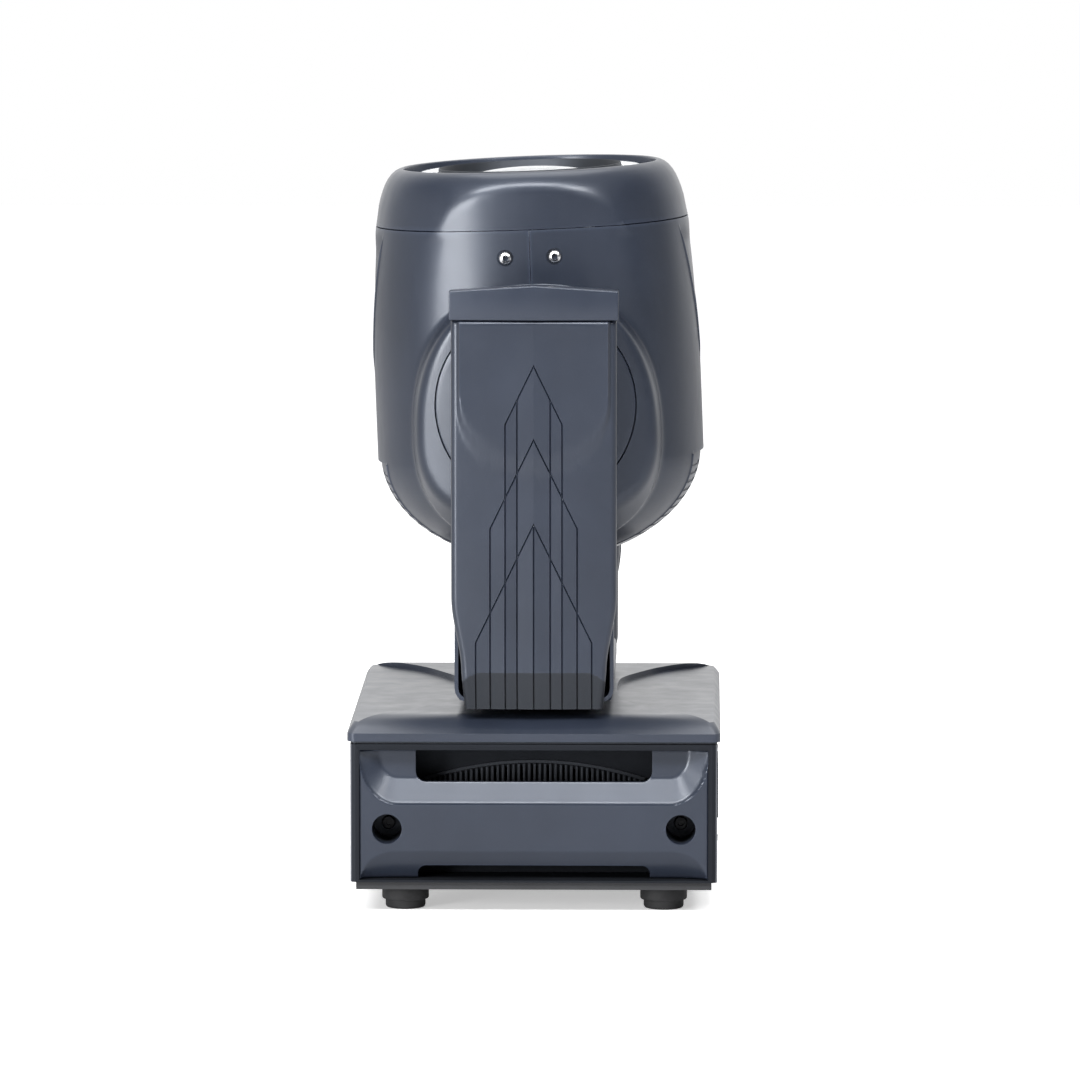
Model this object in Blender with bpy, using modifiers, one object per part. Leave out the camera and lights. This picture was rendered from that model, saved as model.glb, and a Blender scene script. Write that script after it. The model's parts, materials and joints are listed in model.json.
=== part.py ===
"""Moving head light: a base with carrying handles, a panning yoke and a tilting head.

Lengths are millimetres in the constants and in every helper's arguments, and the helpers turn
them into Blender's metres. The origin is the pan axis at the floor, +Z is up, and the tilt axis
is parallel to Y. Head parts are placed from a pivot on the tilt axis, so their heights are
measured from that axis along the head's own optical axis.
"""

import math

import bmesh
import bpy
from mathutils import Matrix, Vector

MM = 0.001
GAP = 0.3  # clearance between neighbouring pieces
ENDS = {"front": -1, "rear": 1}  # the two ends of the base and the two arms, along Y
SIDES = {"left": -1, "right": 1}  # the two half shells of the head, along X
BELT_PITCH = 2.0  # length of belt per tooth
BELT_THICK = 1.4

# Base
COVER_HALF_X = 108.3
COVER_HALF_Y = 146.0
COVER_TOP = 115.0
COVER_WALL = 2.8
COVER_ROUNDING = 9.0
FAN_TOP = 112.0  # the lowered fields left and right of the yoke
SHELL_HALF_X = 107.4
SHELL_HALF_Y = 145.0
SHELL_BOTTOM = 18.5
SHELL_TOP = 100.0
SHELL_WALL = 3.0
RECESS_Y = 111.0  # face of the wall behind the carrying handle
SLAT_COUNT = 6  # air slots on each side of the middle one, under a flat arch
SLAT_PITCH = 8.0
SLAT_HALF_X = 1.6
SLAT_BOTTOM = 44.0
SLAT_ARCH_TOP = 83.0
SLAT_ARCH_RISE = 8.0
PANEL_HALF_X = 101.8
PANEL_BOTTOM = 20.0
PANEL_TOP = 96.3
PANEL_FACE_Y = 143.5
PANEL_THICK = 11.0
SLOT_HALF_X = 69.3
SLOT_BOTTOM = 76.7
SLOT_CORNER = 6.0
NOTCH_HALF_X = 68.0  # open field at the panel's foot
NOTCH_TOP = 27.8
PANEL_SCREW_X = 86.0
PANEL_SCREW_Z = 49.7
PANEL_SCREW_RADIUS = 8.75
CHASSIS_BOTTOM = 14.0
CLAMP_PAD_HALF_X = 62.0  # raised field under the chassis for the two clamp brackets
CLAMP_PAD_HALF_Y = 90.0
CLAMP_PAD_DEPTH = 1.0
BRIDGE_BOTTOM = 76.0  # underside of the plate that carries the pan bearing and motor
BRIDGE_TOP = 79.0
BRIDGE_POST_X = 77.0  # outer faces of the bridge's two upright sides
FOOT_X = 76.0
FOOT_Y = 118.0
FOOT_RADIUS = 11.8
FOOT_COLLAR_RADIUS = 13.8
FOOT_COLLAR_DEPTH = 5.0
WINDOW_HALF_Y = 60.0  # openings in the side walls for the two service panels
WINDOW_LOW = 32.0
WINDOW_HIGH = 88.0
BUTTON_PITCH = 20.0
BUTTON_Z = 41.0

# Pan drive
PAN_TEETH = 144
MOTOR_TEETH = 24
PAN_MOTOR_Y = 75.0
PAN_BELT_LOW = 86.0
PAN_BELT_HIGH = 92.0
BEARING_LOW = 72.5
BEARING_HIGH = 82.5
BEARING_RADIUS = 26.0
SPINDLE_RADIUS = 16.7
MOTOR_HALF = 21.0
MOTOR_SHAFT_RADIUS = 2.5

# Yoke
ARM_BOTTOM = 119.8
ARM_FACE_Y = 145.5
ARM_CAP_Y = 147.0
ARM_SPLIT_Y = 132.0  # outer and inner arm covers meet here
ARM_INNER_Y = 105.0
ARM_HALF_X = 48.3
ARM_WALL = 2.5
ARM_BEND_Z = 142.0  # below this the outer cover slopes in
ARM_TOP = 367.0
CAP_BOTTOM = 348.0
CROSSBAR_TOP = 134.0
FRAME_INNER_Y = 118.0
FRAME_OUTER_Y = 121.0
FRAME_HALF_X = 32.0

# Tilt drive
TILT_Z = 294.0
REST_TILT = math.radians(-2.2)  # about +Y, so the head leans a little towards -X
TILT_TEETH = 96
TILT_MOTOR_DROP = 100.0
TILT_BELT_LOW = 109.2
TILT_BELT_HIGH = 113.8
TRUNNION_RADIUS = 10.0
HUB_RADIUS = 59.0

# Head, heights from the tilt axis
HEAD_RADIUS = 97.7
HEAD_FLAT_Y = 90.0
HEAD_WALL = 3.0
SEAM = 103.0
BOWL_TOP = -35.0
BOWL_DEPTH = 67.0
RIM_TOP = 137.0
RIM_INNER_RADIUS = 75.5
HALO_INNER = 55.0
HALO_OUTER = 66.5
LENS_RADIUS = 51.8
LENS_SEAT = 121.0
HEAD_SCREW_X = 14.5
HEAD_SCREW_Z = 87.0
WHEEL_OFFSET = 30.0
WHEEL_RADIUS = 37.0
FAN_HALF = 40.0
FAN_BLADES = 7

FINISHES = {  # colour, roughness, metallic
    "housing": ((0.045, 0.051, 0.066, 1.0), 0.42, 0.0),
    "dark_plastic": ((0.012, 0.013, 0.016, 1.0), 0.5, 0.0),
    "steel": ((0.46, 0.47, 0.48, 1.0), 0.4, 0.9),
    "screw": ((0.72, 0.72, 0.73, 1.0), 0.25, 1.0),
    "rubber": ((0.02, 0.02, 0.022, 1.0), 0.8, 0.0),
    "glass": ((0.75, 0.8, 0.84, 1.0), 0.05, 0.0),
    "halo": ((0.82, 0.83, 0.85, 1.0), 0.35, 0.0),
    "aluminium": ((0.6, 0.61, 0.62, 1.0), 0.35, 0.9),
    "board": ((0.02, 0.09, 0.045, 1.0), 0.5, 0.0),
    "screen": ((0.01, 0.012, 0.016, 1.0), 0.1, 0.0),
}


def new_collection(name):
    """A collection in the scene."""
    collection = bpy.data.collections.new(name)
    bpy.context.scene.collection.children.link(collection)
    return collection


for old in list(bpy.data.objects):
    bpy.data.objects.remove(old, do_unlink=True)
PARTS = new_collection("moving_head_light")
CUTTERS = new_collection("cutters")


# Placing and finishing


def pivot(name, place, parent=None, rotation=(0.0, 0.0, 0.0)):
    """An empty on a joint's axis, that the moving pieces hang from."""
    empty = bpy.data.objects.new(name, None)
    PARTS.objects.link(empty)
    empty.parent = parent
    empty.location = Vector(place) * MM
    empty.rotation_euler = rotation
    return empty


def add_object(name, mesh, parent):
    """A mesh object in the parts collection."""
    obj = bpy.data.objects.new(name, mesh)
    PARTS.objects.link(obj)
    obj.parent = parent
    return obj


def finish(obj, kind, angle=35.0):
    """Give a piece its own material, and smooth its round faces."""
    colour, roughness, metallic = FINISHES[kind]
    material = bpy.data.materials.new(obj.name + "_" + kind)
    material.use_nodes = True
    shader = material.node_tree.nodes["Principled BSDF"]
    shader.inputs["Base Color"].default_value = colour
    shader.inputs["Roughness"].default_value = roughness
    shader.inputs["Metallic"].default_value = metallic
    obj.data.materials.clear()
    obj.data.materials.append(material)
    obj.data.shade_smooth()
    obj.data.set_sharp_from_angle(angle=math.radians(angle))
    return obj


def hide_as_tool(obj):
    """Keep an object only as the tool of a Boolean."""
    obj.hide_render = True
    obj.display_type = "WIRE"
    if obj.name in PARTS.objects:
        PARTS.objects.unlink(obj)
        CUTTERS.objects.link(obj)


def combine(target, operation, tools):
    for tool in tools:
        modifier = target.modifiers.new(tool.name, "BOOLEAN")
        modifier.operation = operation
        modifier.solver = "EXACT"
        modifier.object = tool
        hide_as_tool(tool)
    return target


def cut(target, *tools):
    """Take the tools away from the target."""
    return combine(target, "DIFFERENCE", tools)


def join(target, *tools):
    """Weld the tools onto the target."""
    return combine(target, "UNION", tools)


def bevel(obj, width, segments=2, by_weight=False, angle=40.0):
    """Round the sharp edges, or only the weighted ones."""
    modifier = obj.modifiers.new("round", "BEVEL")
    modifier.width = width * MM
    modifier.segments = segments
    modifier.limit_method = "WEIGHT" if by_weight else "ANGLE"
    modifier.angle_limit = math.radians(angle)
    return obj


def span(a, b):
    """Two heights or faces in rising order."""
    return min(a, b), max(a, b)


# Shapes


def box(name, low, high, parent=None):
    """A box between two corners."""
    low, high = Vector(low) * MM, Vector(high) * MM
    mesh = bpy.data.meshes.new(name)
    bm = bmesh.new()
    bmesh.ops.create_cube(bm, size=1.0)
    bmesh.ops.scale(bm, vec=high - low, verts=bm.verts)
    bmesh.ops.translate(bm, vec=(low + high) / 2, verts=bm.verts)
    bm.to_mesh(mesh)
    bm.free()
    return add_object(name, mesh, parent)


def weigh_edges(obj, weight_of):
    """Set each edge's bevel weight from the two ends of the edge."""
    bm = bmesh.new()
    bm.from_mesh(obj.data)
    layer = bm.edges.layers.float.new("bevel_weight_edge")
    for edge in bm.edges:
        edge[layer] = weight_of(edge.verts[0].co / MM, edge.verts[1].co / MM)
    bm.to_mesh(obj.data)
    bm.free()


def rod(name, radius, start, end, parent=None, segments=20):
    """A solid cylinder between two points."""
    start, end = Vector(start) * MM, Vector(end) * MM
    along = end - start
    wide, length = radius * MM, along.length
    mesh = bpy.data.meshes.new(name)
    bm = bmesh.new()
    bmesh.ops.create_cone(bm, cap_ends=True, segments=segments, radius1=wide, radius2=wide, depth=length)
    turn = along.to_track_quat("Z", "Y").to_matrix().to_4x4()
    bmesh.ops.transform(bm, matrix=Matrix.Translation((start + end) / 2) @ turn, verts=bm.verts)
    bm.to_mesh(mesh)
    bm.free()
    return add_object(name, mesh, parent)


def turned(name, profile, parent=None, steps=24, closed=True, along="Z"):
    """A profile of (radius, height) turned round an axis; the outer side runs from top to bottom."""
    mesh = bpy.data.meshes.new(name)
    points = [(radius * MM, 0.0, height * MM) for radius, height in profile]
    edges = [(i, i + 1) for i in range(len(points) - 1)]
    if closed:
        edges.append((len(points) - 1, 0))
    mesh.from_pydata(points, edges, [])
    obj = add_object(name, mesh, parent)
    tilt = {"Z": 0.0, "+Y": -90.0, "-Y": 90.0}[along]
    obj.rotation_euler = (math.radians(tilt), 0.0, 0.0)
    screw = obj.modifiers.new("turn", "SCREW")
    screw.steps = steps
    screw.render_steps = steps
    screw.use_merge_vertices = True
    screw.merge_threshold = 0.00001
    screw.use_smooth_shade = True
    return obj


def ring_profile(inner, outer, low, high):
    """The rectangle that turns into a plain ring."""
    return [(outer, high), (outer, low), (inner, low), (inner, high)]


def prism(name, outlines, low, high, axis, parent=None):
    """Flat outlines, the first solid and the others holes in it, made thick along an axis."""
    curve = bpy.data.curves.new(name, "CURVE")
    curve.dimensions = "2D"
    curve.fill_mode = "BOTH"
    curve.extrude = (high - low) / 2 * MM
    for outline in outlines:
        spline = curve.splines.new("POLY")
        spline.points.add(len(outline) - 1)
        for point, (u, v) in zip(spline.points, outline):
            point.co = (u * MM, v * MM, 0.0, 1.0)
        spline.use_cyclic_u = True
    flat = bpy.data.objects.new(name + "_outline", curve)
    PARTS.objects.link(flat)
    mesh = bpy.data.meshes.new_from_object(flat.evaluated_get(bpy.context.evaluated_depsgraph_get()))
    bpy.data.objects.remove(flat, do_unlink=True)
    bm = bmesh.new()
    bm.from_mesh(mesh)
    bmesh.ops.remove_doubles(bm, verts=bm.verts, dist=0.000001)
    middle = (low + high) / 2 * MM
    turn = {
        "Z": Matrix.Identity(3),
        "Y": Matrix(((1, 0, 0), (0, 0, -1), (0, 1, 0))),
        "X": Matrix(((0, 0, 1), (1, 0, 0), (0, 1, 0))),
    }[axis]
    shift = {"X": (middle, 0, 0), "Y": (0, middle, 0), "Z": (0, 0, middle)}[axis]
    bmesh.ops.transform(bm, matrix=Matrix.Translation(shift) @ turn.to_4x4(), verts=bm.verts)
    bmesh.ops.recalc_face_normals(bm, faces=bm.faces)
    bm.to_mesh(mesh)
    bm.free()
    mesh.name = name
    return add_object(name, mesh, parent)


# Outlines


def arc(centre, radius, start, end, count):
    """Points along an arc, angles in degrees."""
    turns = [math.radians(start + (end - start) * i / count) for i in range(count + 1)]
    return [(centre[0] + radius * math.cos(t), centre[1] + radius * math.sin(t)) for t in turns]


def circle(centre, radius, count=16):
    return arc(centre, radius, 0.0, 360.0, count)[:-1]


def rectangle(low, high):
    return [low, (high[0], low[1]), high, (low[0], high[1])]


def rounded_rectangle(low, high, radius, count=4):
    (x0, y0), (x1, y1) = (low[0] + radius, low[1] + radius), (high[0] - radius, high[1] - radius)
    return (
        arc((x0, y0), radius, 180, 270, count)
        + arc((x1, y0), radius, 270, 360, count)
        + arc((x1, y1), radius, 0, 90, count)
        + arc((x0, y1), radius, 90, 180, count)
    )


def belt_outline(big, small, distance, count=20):
    """The loop round two pulleys: the big one at 0, the small one at +distance along u."""
    spread = math.degrees(math.acos((big - small) / distance))
    round_big = arc((0, 0), big, spread, 360 - spread, count)
    return round_big + arc((distance, 0), small, -spread, spread, count // 2)


def turn_points(points, degrees, centre=(0.0, 0.0)):
    """Turn an outline about the origin, then move it."""
    c, s = math.cos(math.radians(degrees)), math.sin(math.radians(degrees))
    return [(centre[0] + c * u - s * v, centre[1] + s * u + c * v) for u, v in points]


def pitch_radius(teeth):
    return teeth * BELT_PITCH / (2 * math.pi)


# Base


def handle_panel(name, end):
    """The end panel whose upper bar, below an open slot, is the carrying handle."""
    corner_x, corner_z = SLOT_HALF_X - SLOT_CORNER, SLOT_BOTTOM + SLOT_CORNER
    outline = [(-PANEL_HALF_X, PANEL_BOTTOM), (-NOTCH_HALF_X, PANEL_BOTTOM), (-NOTCH_HALF_X, NOTCH_TOP)]
    outline += [(NOTCH_HALF_X, NOTCH_TOP), (NOTCH_HALF_X, PANEL_BOTTOM)]
    outline += [(PANEL_HALF_X, PANEL_BOTTOM), (PANEL_HALF_X, PANEL_TOP), (SLOT_HALF_X, PANEL_TOP)]
    outline += arc((corner_x, corner_z), SLOT_CORNER, 0, -90, 4)
    outline += arc((-corner_x, corner_z), SLOT_CORNER, 270, 180, 4)
    outline += [(-SLOT_HALF_X, PANEL_TOP), (-PANEL_HALF_X, PANEL_TOP)]
    screw_places = [(side * PANEL_SCREW_X, PANEL_SCREW_Z) for side in (-1, 1)]
    screw_holes = [circle(place, PANEL_SCREW_RADIUS) for place in screw_places]
    face = end * PANEL_FACE_Y
    panel = prism(name, [outline, *screw_holes], *span(face, face - end * PANEL_THICK), "Y")
    grip_foot, grip_top, grip_depth = 63.3, 76.8, end * 6.0
    upper = [(face + end, grip_foot), (face + end, 80.0), (face - end * 8.0, 80.0)]
    upper += [(face - grip_depth, grip_top), (face, grip_foot)]
    skirt_top, skirt_foot, skirt_depth = 36.7, 27.0, end * 4.0
    lower = [(face + end, skirt_top), (face, skirt_top), (face - skirt_depth, skirt_foot)]
    lower += [(face + end, skirt_foot)]
    grip = prism(name + "_grip_slope", [upper], -SLOT_HALF_X - 8.0, SLOT_HALF_X + 8.0, "X")
    skirt = prism(name + "_lower_slope", [lower], -NOTCH_HALF_X - 6.0, NOTCH_HALF_X + 6.0, "X")
    return finish(cut(panel, grip, skirt), "housing")


def base_shell():
    """The side walls, with a pocket for each handle and a vented wall behind it."""
    corner = (SHELL_HALF_X, SHELL_HALF_Y, SHELL_TOP)
    shell = box("base_shell", (-SHELL_HALF_X, -SHELL_HALF_Y, SHELL_BOTTOM), corner)
    weigh_edges(shell, lambda a, b: 1.0 if abs(a.z - b.z) > 1.0 else 0.0)
    bevel(shell, 3.0, by_weight=True)
    inside_x = SHELL_HALF_X - SHELL_WALL
    inside_y = RECESS_Y - SHELL_WALL
    cut(shell, box("base_cavity", (-inside_x, -inside_y, 10.0), (inside_x, inside_y, SHELL_TOP + 5)))
    for end_name, end in ENDS.items():
        near, far = span(end * (SHELL_HALF_Y + 5), end * RECESS_Y)
        half = PANEL_HALF_X + GAP
        low, high = (-half, near, PANEL_BOTTOM - GAP), (half, far, PANEL_TOP + GAP)
        cut(shell, box("handle_pocket_" + end_name, low, high))
    slats = []
    for index in range(-SLAT_COUNT, SLAT_COUNT + 1):
        x = index * SLAT_PITCH
        top = SLAT_ARCH_TOP - SLAT_ARCH_RISE * (index / SLAT_COUNT) ** 2
        slats.append(rectangle((x - SLAT_HALF_X, SLAT_BOTTOM), (x + SLAT_HALF_X, top)))
    cut(shell, prism("recess_vents", slats, -RECESS_Y - 5, RECESS_Y + 5, "Y"))
    for side_name, side in SIDES.items():
        near, far = span(side * (SHELL_HALF_X + 5), side * (SHELL_HALF_X - 5))
        low, high = (near, -WINDOW_HALF_Y, WINDOW_LOW), (far, WINDOW_HALF_Y, WINDOW_HIGH)
        cut(shell, box("service_window_" + side_name, low, high))
    return finish(shell, "housing")


def top_cover():
    """The lid: raised fields under the arms, lowered fans left and right, a hole for the spindle."""
    low = (-COVER_HALF_X, -COVER_HALF_Y, SHELL_TOP + GAP)
    cover = box("base_top_cover", low, (COVER_HALF_X, COVER_HALF_Y, COVER_TOP))

    def weight(a, b):
        """Upright edges round half as much as the upper ones, and the lower ones stay sharp."""
        if abs(a.z - b.z) > 1.0:
            return 0.5
        return 1.0 if a.z > COVER_TOP - 1.0 else 0.0

    weigh_edges(cover, weight)
    bevel(cover, COVER_ROUNDING, segments=4, by_weight=True)
    inside_x, inside_y = COVER_HALF_X - COVER_WALL, COVER_HALF_Y - COVER_WALL
    low, high = (-inside_x, -inside_y, SHELL_TOP - 5), (inside_x, inside_y, FAN_TOP - COVER_WALL)
    cut(cover, box("cover_cavity", low, high))
    for side_name, side in SIDES.items():
        edge = [(107.0, -140.0), (92.0, -124.0), (80.0, -112.0), (69.0, -95.0), (60.0, -76.0), (48.0, -48.0)]
        edge += [(x, -y) for x, y in reversed(edge)]
        fan = [(side * x, y) for x, y in [(125.0, -140.0), *edge, (125.0, 140.0)]]
        cut(cover, prism("lowered_fan_" + side_name, [fan], FAN_TOP, COVER_TOP + 5, "Z"))
    cut(cover, rod("spindle_hole", SPINDLE_RADIUS + 3.3, (0, 0, 90), (0, 0, 125), segments=32))
    return finish(cover, "housing")


def chassis():
    """The steel pan under the base, with a bridge that carries the pan bearing and motor."""
    pan_x, pan_y, pan_top, sheet = 104.1, 143.0, SHELL_BOTTOM - GAP, 2.0
    pan = box("base_chassis", (-pan_x, -pan_y, CHASSIS_BOTTOM), (pan_x, pan_y, pan_top))
    low, high = (-pan_x + sheet, -pan_y + sheet, CHASSIS_BOTTOM + sheet), (pan_x - sheet, pan_y - sheet, 30.0)
    cut(pan, box("pan_hollow", low, high))
    corner = (CLAMP_PAD_HALF_X, CLAMP_PAD_HALF_Y)
    pad = rounded_rectangle((-CLAMP_PAD_HALF_X, -CLAMP_PAD_HALF_Y), corner, 6.0, 3)
    join(pan, prism("clamp_pad", [pad], CHASSIS_BOTTOM - CLAMP_PAD_DEPTH, CHASSIS_BOTTOM + 1.0, "Z"))
    outer, inner, foot_z = BRIDGE_POST_X, BRIDGE_POST_X - sheet, CHASSIS_BOTTOM + 1.0
    bridge = [(-outer, foot_z), (-inner, foot_z), (-inner, BRIDGE_BOTTOM), (inner, BRIDGE_BOTTOM)]
    bridge += [(inner, foot_z), (outer, foot_z), (outer, BRIDGE_TOP), (-outer, BRIDGE_TOP)]
    join(pan, prism("pan_bridge", [bridge], -42.0, 100.0, "Y"))
    seat_low, seat_high = BRIDGE_BOTTOM - 6.0, BRIDGE_TOP + 6.0
    cut(pan, rod("bearing_seat", BEARING_RADIUS + 0.6, (0, 0, seat_low), (0, 0, seat_high), segments=32))
    cut(pan, rod("motor_boss_hole", 12.0, (0, PAN_MOTOR_Y, seat_low), (0, PAN_MOTOR_Y, seat_high)))
    return finish(pan, "steel")


def foot(name, x, y):
    """A round rubber foot with a soft lower edge."""
    top = CHASSIS_BOTTOM - GAP
    step = top - FOOT_COLLAR_DEPTH
    profile = [(0, top), (FOOT_COLLAR_RADIUS, top), (FOOT_COLLAR_RADIUS, step), (FOOT_RADIUS, step)]
    profile += [(FOOT_RADIUS, 3.0), (FOOT_RADIUS - 0.6, 1.2), (FOOT_RADIUS - 2.2, 0.0), (0, 0.0)]
    obj = turned(name, profile, steps=16, closed=False)
    obj.location = (x * MM, y * MM, 0.0)
    return finish(obj, "rubber")


def service_panel(name, side, holes):
    """A panel set in a side window, held by a flange behind the wall."""
    face = SHELL_HALF_X - 0.5
    back = SHELL_HALF_X - SHELL_WALL - GAP
    inner = back - 2.0
    lip = 5.0
    half, low, high = WINDOW_HALF_Y - GAP, WINDOW_LOW + GAP, WINDOW_HIGH - GAP
    plug = rounded_rectangle((-half, low), (half, high), 1.0, 2)
    flange = rectangle((-WINDOW_HALF_Y - lip, WINDOW_LOW - lip), (WINDOW_HALF_Y + lip, WINDOW_HIGH + lip))
    panel = prism(name, [plug, *holes], *span(side * face, side * inner), "X")
    rear = prism(name + "_flange", [flange, *holes], *span(side * back, side * inner), "X")
    return finish(join(panel, rear), "dark_plastic")


SCREEN_LOW = (-27.0, 54.0)
SCREEN_HIGH = (27.0, 81.0)
BUTTON_ROW = [-1.5 * BUTTON_PITCH, -0.5 * BUTTON_PITCH, 0.5 * BUTTON_PITCH, 1.5 * BUTTON_PITCH]
SOCKETS = {"power_inlet": (-34.0, 12.0), "data_inlet": (4.0, 9.6), "data_outlet": (36.0, 9.6)}
SOCKET_Z = 60.0


def control_side():
    """The control panel with its screen and four menu buttons, and the board behind it."""
    screen_hole = rectangle(SCREEN_LOW, SCREEN_HIGH)
    button_holes = [circle((y, BUTTON_Z), 5.4, 12) for y in BUTTON_ROW]
    service_panel("control_panel", -1, [screen_hole, *button_holes])
    low = (SCREEN_LOW[0] + GAP, SCREEN_LOW[1] + GAP)
    high = (SCREEN_HIGH[0] - GAP, SCREEN_HIGH[1] - GAP)
    window = prism("display_window", [rounded_rectangle(low, high, 1.0, 2)], -106.5, -102.4, "X")
    finish(window, "screen")
    for index, y in enumerate(BUTTON_ROW, start=1):
        name = "menu_button_" + str(index)
        guide = pivot(name + "_guide", (-SHELL_HALF_X, y, BUTTON_Z))
        profile = [(0, 0.6), (5.0, 0.6), (5.0, -5.7), (6.2, -5.7), (6.2, -6.7), (0, -6.7)]
        button = turned(name, profile, guide, steps=12, closed=False)
        button.rotation_euler = (0.0, math.radians(-90.0), 0.0)
        finish(button, "dark_plastic")
    board = box("control_board", (-98.6, -54.0, 33.0), (-97.0, 54.0, 86.0))
    join(board, box("screen_module", (-101.9, -25.0, 56.0), (-98.0, 25.0, 79.0)))
    join(board, box("processor", (-97.5, -12.0, 50.0), (-94.5, 12.0, 74.0)))
    join(board, box("board_plug", (-97.5, 24.0, 40.0), (-90.0, 46.0, 48.0)))
    finish(board, "board")


def connector_side():
    """The connector panel with a power inlet and two data sockets."""
    holes = [circle((y, SOCKET_Z), radius + GAP) for y, radius in SOCKETS.values()]
    service_panel("connector_panel", 1, holes)
    face, back, wall, pin_circle = SHELL_HALF_X - 0.1, 88.0, 1.8, 0.42
    for name, (y, radius) in SOCKETS.items():
        socket = rod(name, radius, (back, y, SOCKET_Z), (face, y, SOCKET_Z))
        start, end = (back + 6.0, y, SOCKET_Z), (face + 4.0, y, SOCKET_Z)
        cut(socket, rod(name + "_mouth", radius - wall, start, end))
        for index, angle in enumerate((90.0, 210.0, 330.0)):
            u = y + radius * pin_circle * math.cos(math.radians(angle))
            v = SOCKET_Z + radius * pin_circle * math.sin(math.radians(angle))
            start, end = (back + 5.0, u, v), (face - 4.0, u, v)
            join(socket, rod(name + "_pin_" + str(index), 1.1, start, end, segments=8))
        finish(socket, "dark_plastic")


def power_supply():
    """An open-frame mains supply: board, transformer, heat spreader and capacitors."""
    supply = box("power_supply", (-62.0, -104.0, 21.0), (62.0, -48.0, 23.0))
    join(supply, box("transformer", (-18.0, -96.0, 22.0), (20.0, -60.0, 50.0)))
    join(supply, box("heat_spreader", (-58.0, -100.0, 22.0), (-52.0, -52.0, 48.0)))
    join(supply, rod("capacitor_1", 9.0, (42.0, -88.0, 22.0), (42.0, -88.0, 50.0), segments=12))
    join(supply, rod("capacitor_2", 9.0, (42.0, -64.0, 22.0), (42.0, -64.0, 50.0), segments=12))
    finish(supply, "board")


def pulley_profile(radius, bore, low, high):
    """A belt pulley with a thin flange on each side of the belt."""
    lip, edge = 2.2, 0.8
    return [
        (radius + lip, high + edge),
        (radius + lip, high),
        (radius, high),
        (radius, low),
        (radius + lip, low),
        (radius + lip, low - edge),
        (bore, low - edge),
        (bore, high + edge),
    ]


def pan_drive():
    """Bearing, belt, motor and motor pulley of the pan axis."""
    section = ring_profile(SPINDLE_RADIUS + GAP, BEARING_RADIUS, BEARING_LOW, BEARING_HIGH)
    finish(turned("pan_bearing", section), "steel")
    top = BRIDGE_BOTTOM - GAP
    low, high = (-MOTOR_HALF, PAN_MOTOR_Y - MOTOR_HALF, 36.0), (MOTOR_HALF, PAN_MOTOR_Y + MOTOR_HALF, top)
    motor = bevel(box("pan_motor", low, high), 3.0)
    join(motor, rod("pan_motor_boss", 11.0, (0, PAN_MOTOR_Y, 70.0), (0, PAN_MOTOR_Y, 78.0)))
    start, end = (0, PAN_MOTOR_Y, BRIDGE_BOTTOM), (0, PAN_MOTOR_Y, PAN_BELT_HIGH + 1.0)
    join(motor, rod("pan_motor_shaft", MOTOR_SHAFT_RADIUS, start, end, segments=10))
    finish(motor, "dark_plastic")
    axle = pivot("pan_motor_axle", (0, PAN_MOTOR_Y, 0))
    radius = pitch_radius(MOTOR_TEETH) - GAP
    profile = pulley_profile(radius, MOTOR_SHAFT_RADIUS + GAP, PAN_BELT_LOW, PAN_BELT_HIGH)
    finish(turned("pan_motor_pulley", profile, axle, steps=16), "aluminium")
    finish(belt("pan_belt", PAN_TEETH, PAN_MOTOR_Y, PAN_BELT_LOW, PAN_BELT_HIGH, "Z", 90.0), "rubber")


def belt(name, teeth, distance, low, high, axis, heading, centre=(0.0, 0.0), parent=None):
    """A toothed belt's loop from a big pulley to the motor pulley."""
    big, small = pitch_radius(teeth), pitch_radius(MOTOR_TEETH)
    loops = []
    for grow in (BELT_THICK, 0.0):
        loop = belt_outline(big + grow, small + grow, distance)
        loops.append(turn_points(loop, heading, centre))
    return prism(name, loops, low + GAP, high - GAP, axis, parent)


def build_base():
    chassis()
    base_shell()
    top_cover()
    for end_name, end in ENDS.items():
        handle_panel("handle_panel_" + end_name, end)
    for index, (x, y) in enumerate([(-1, -1), (1, -1), (1, 1), (-1, 1)], start=1):
        foot("foot_" + str(index), x * FOOT_X, y * FOOT_Y)
    control_side()
    connector_side()
    power_supply()
    pan_drive()


# Yoke


def spindle(yoke):
    """The hollow pan spindle: a turntable flange above, the belt pulley below, one casting."""
    flange_low, flange_high, flange_radius = COVER_TOP + 1.0, ARM_BOTTOM - GAP, 40.0
    foot_z, bore = 70.0, 8.0
    wheel = pitch_radius(PAN_TEETH) - GAP
    lip, edge = 2.2, 0.8
    profile = [(flange_radius, flange_high), (flange_radius, flange_low), (SPINDLE_RADIUS, flange_low)]
    profile += [(SPINDLE_RADIUS, PAN_BELT_HIGH + edge), (wheel + lip, PAN_BELT_HIGH + edge)]
    profile += [(wheel + lip, PAN_BELT_HIGH), (wheel, PAN_BELT_HIGH), (wheel, PAN_BELT_LOW)]
    profile += [(wheel + lip, PAN_BELT_LOW), (wheel + lip, PAN_BELT_LOW - edge)]
    profile += [(SPINDLE_RADIUS, PAN_BELT_LOW - edge), (SPINDLE_RADIUS, foot_z)]
    profile += [(bore, foot_z), (bore, flange_high)]
    finish(turned("pan_spindle", profile, yoke), "dark_plastic")


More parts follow.
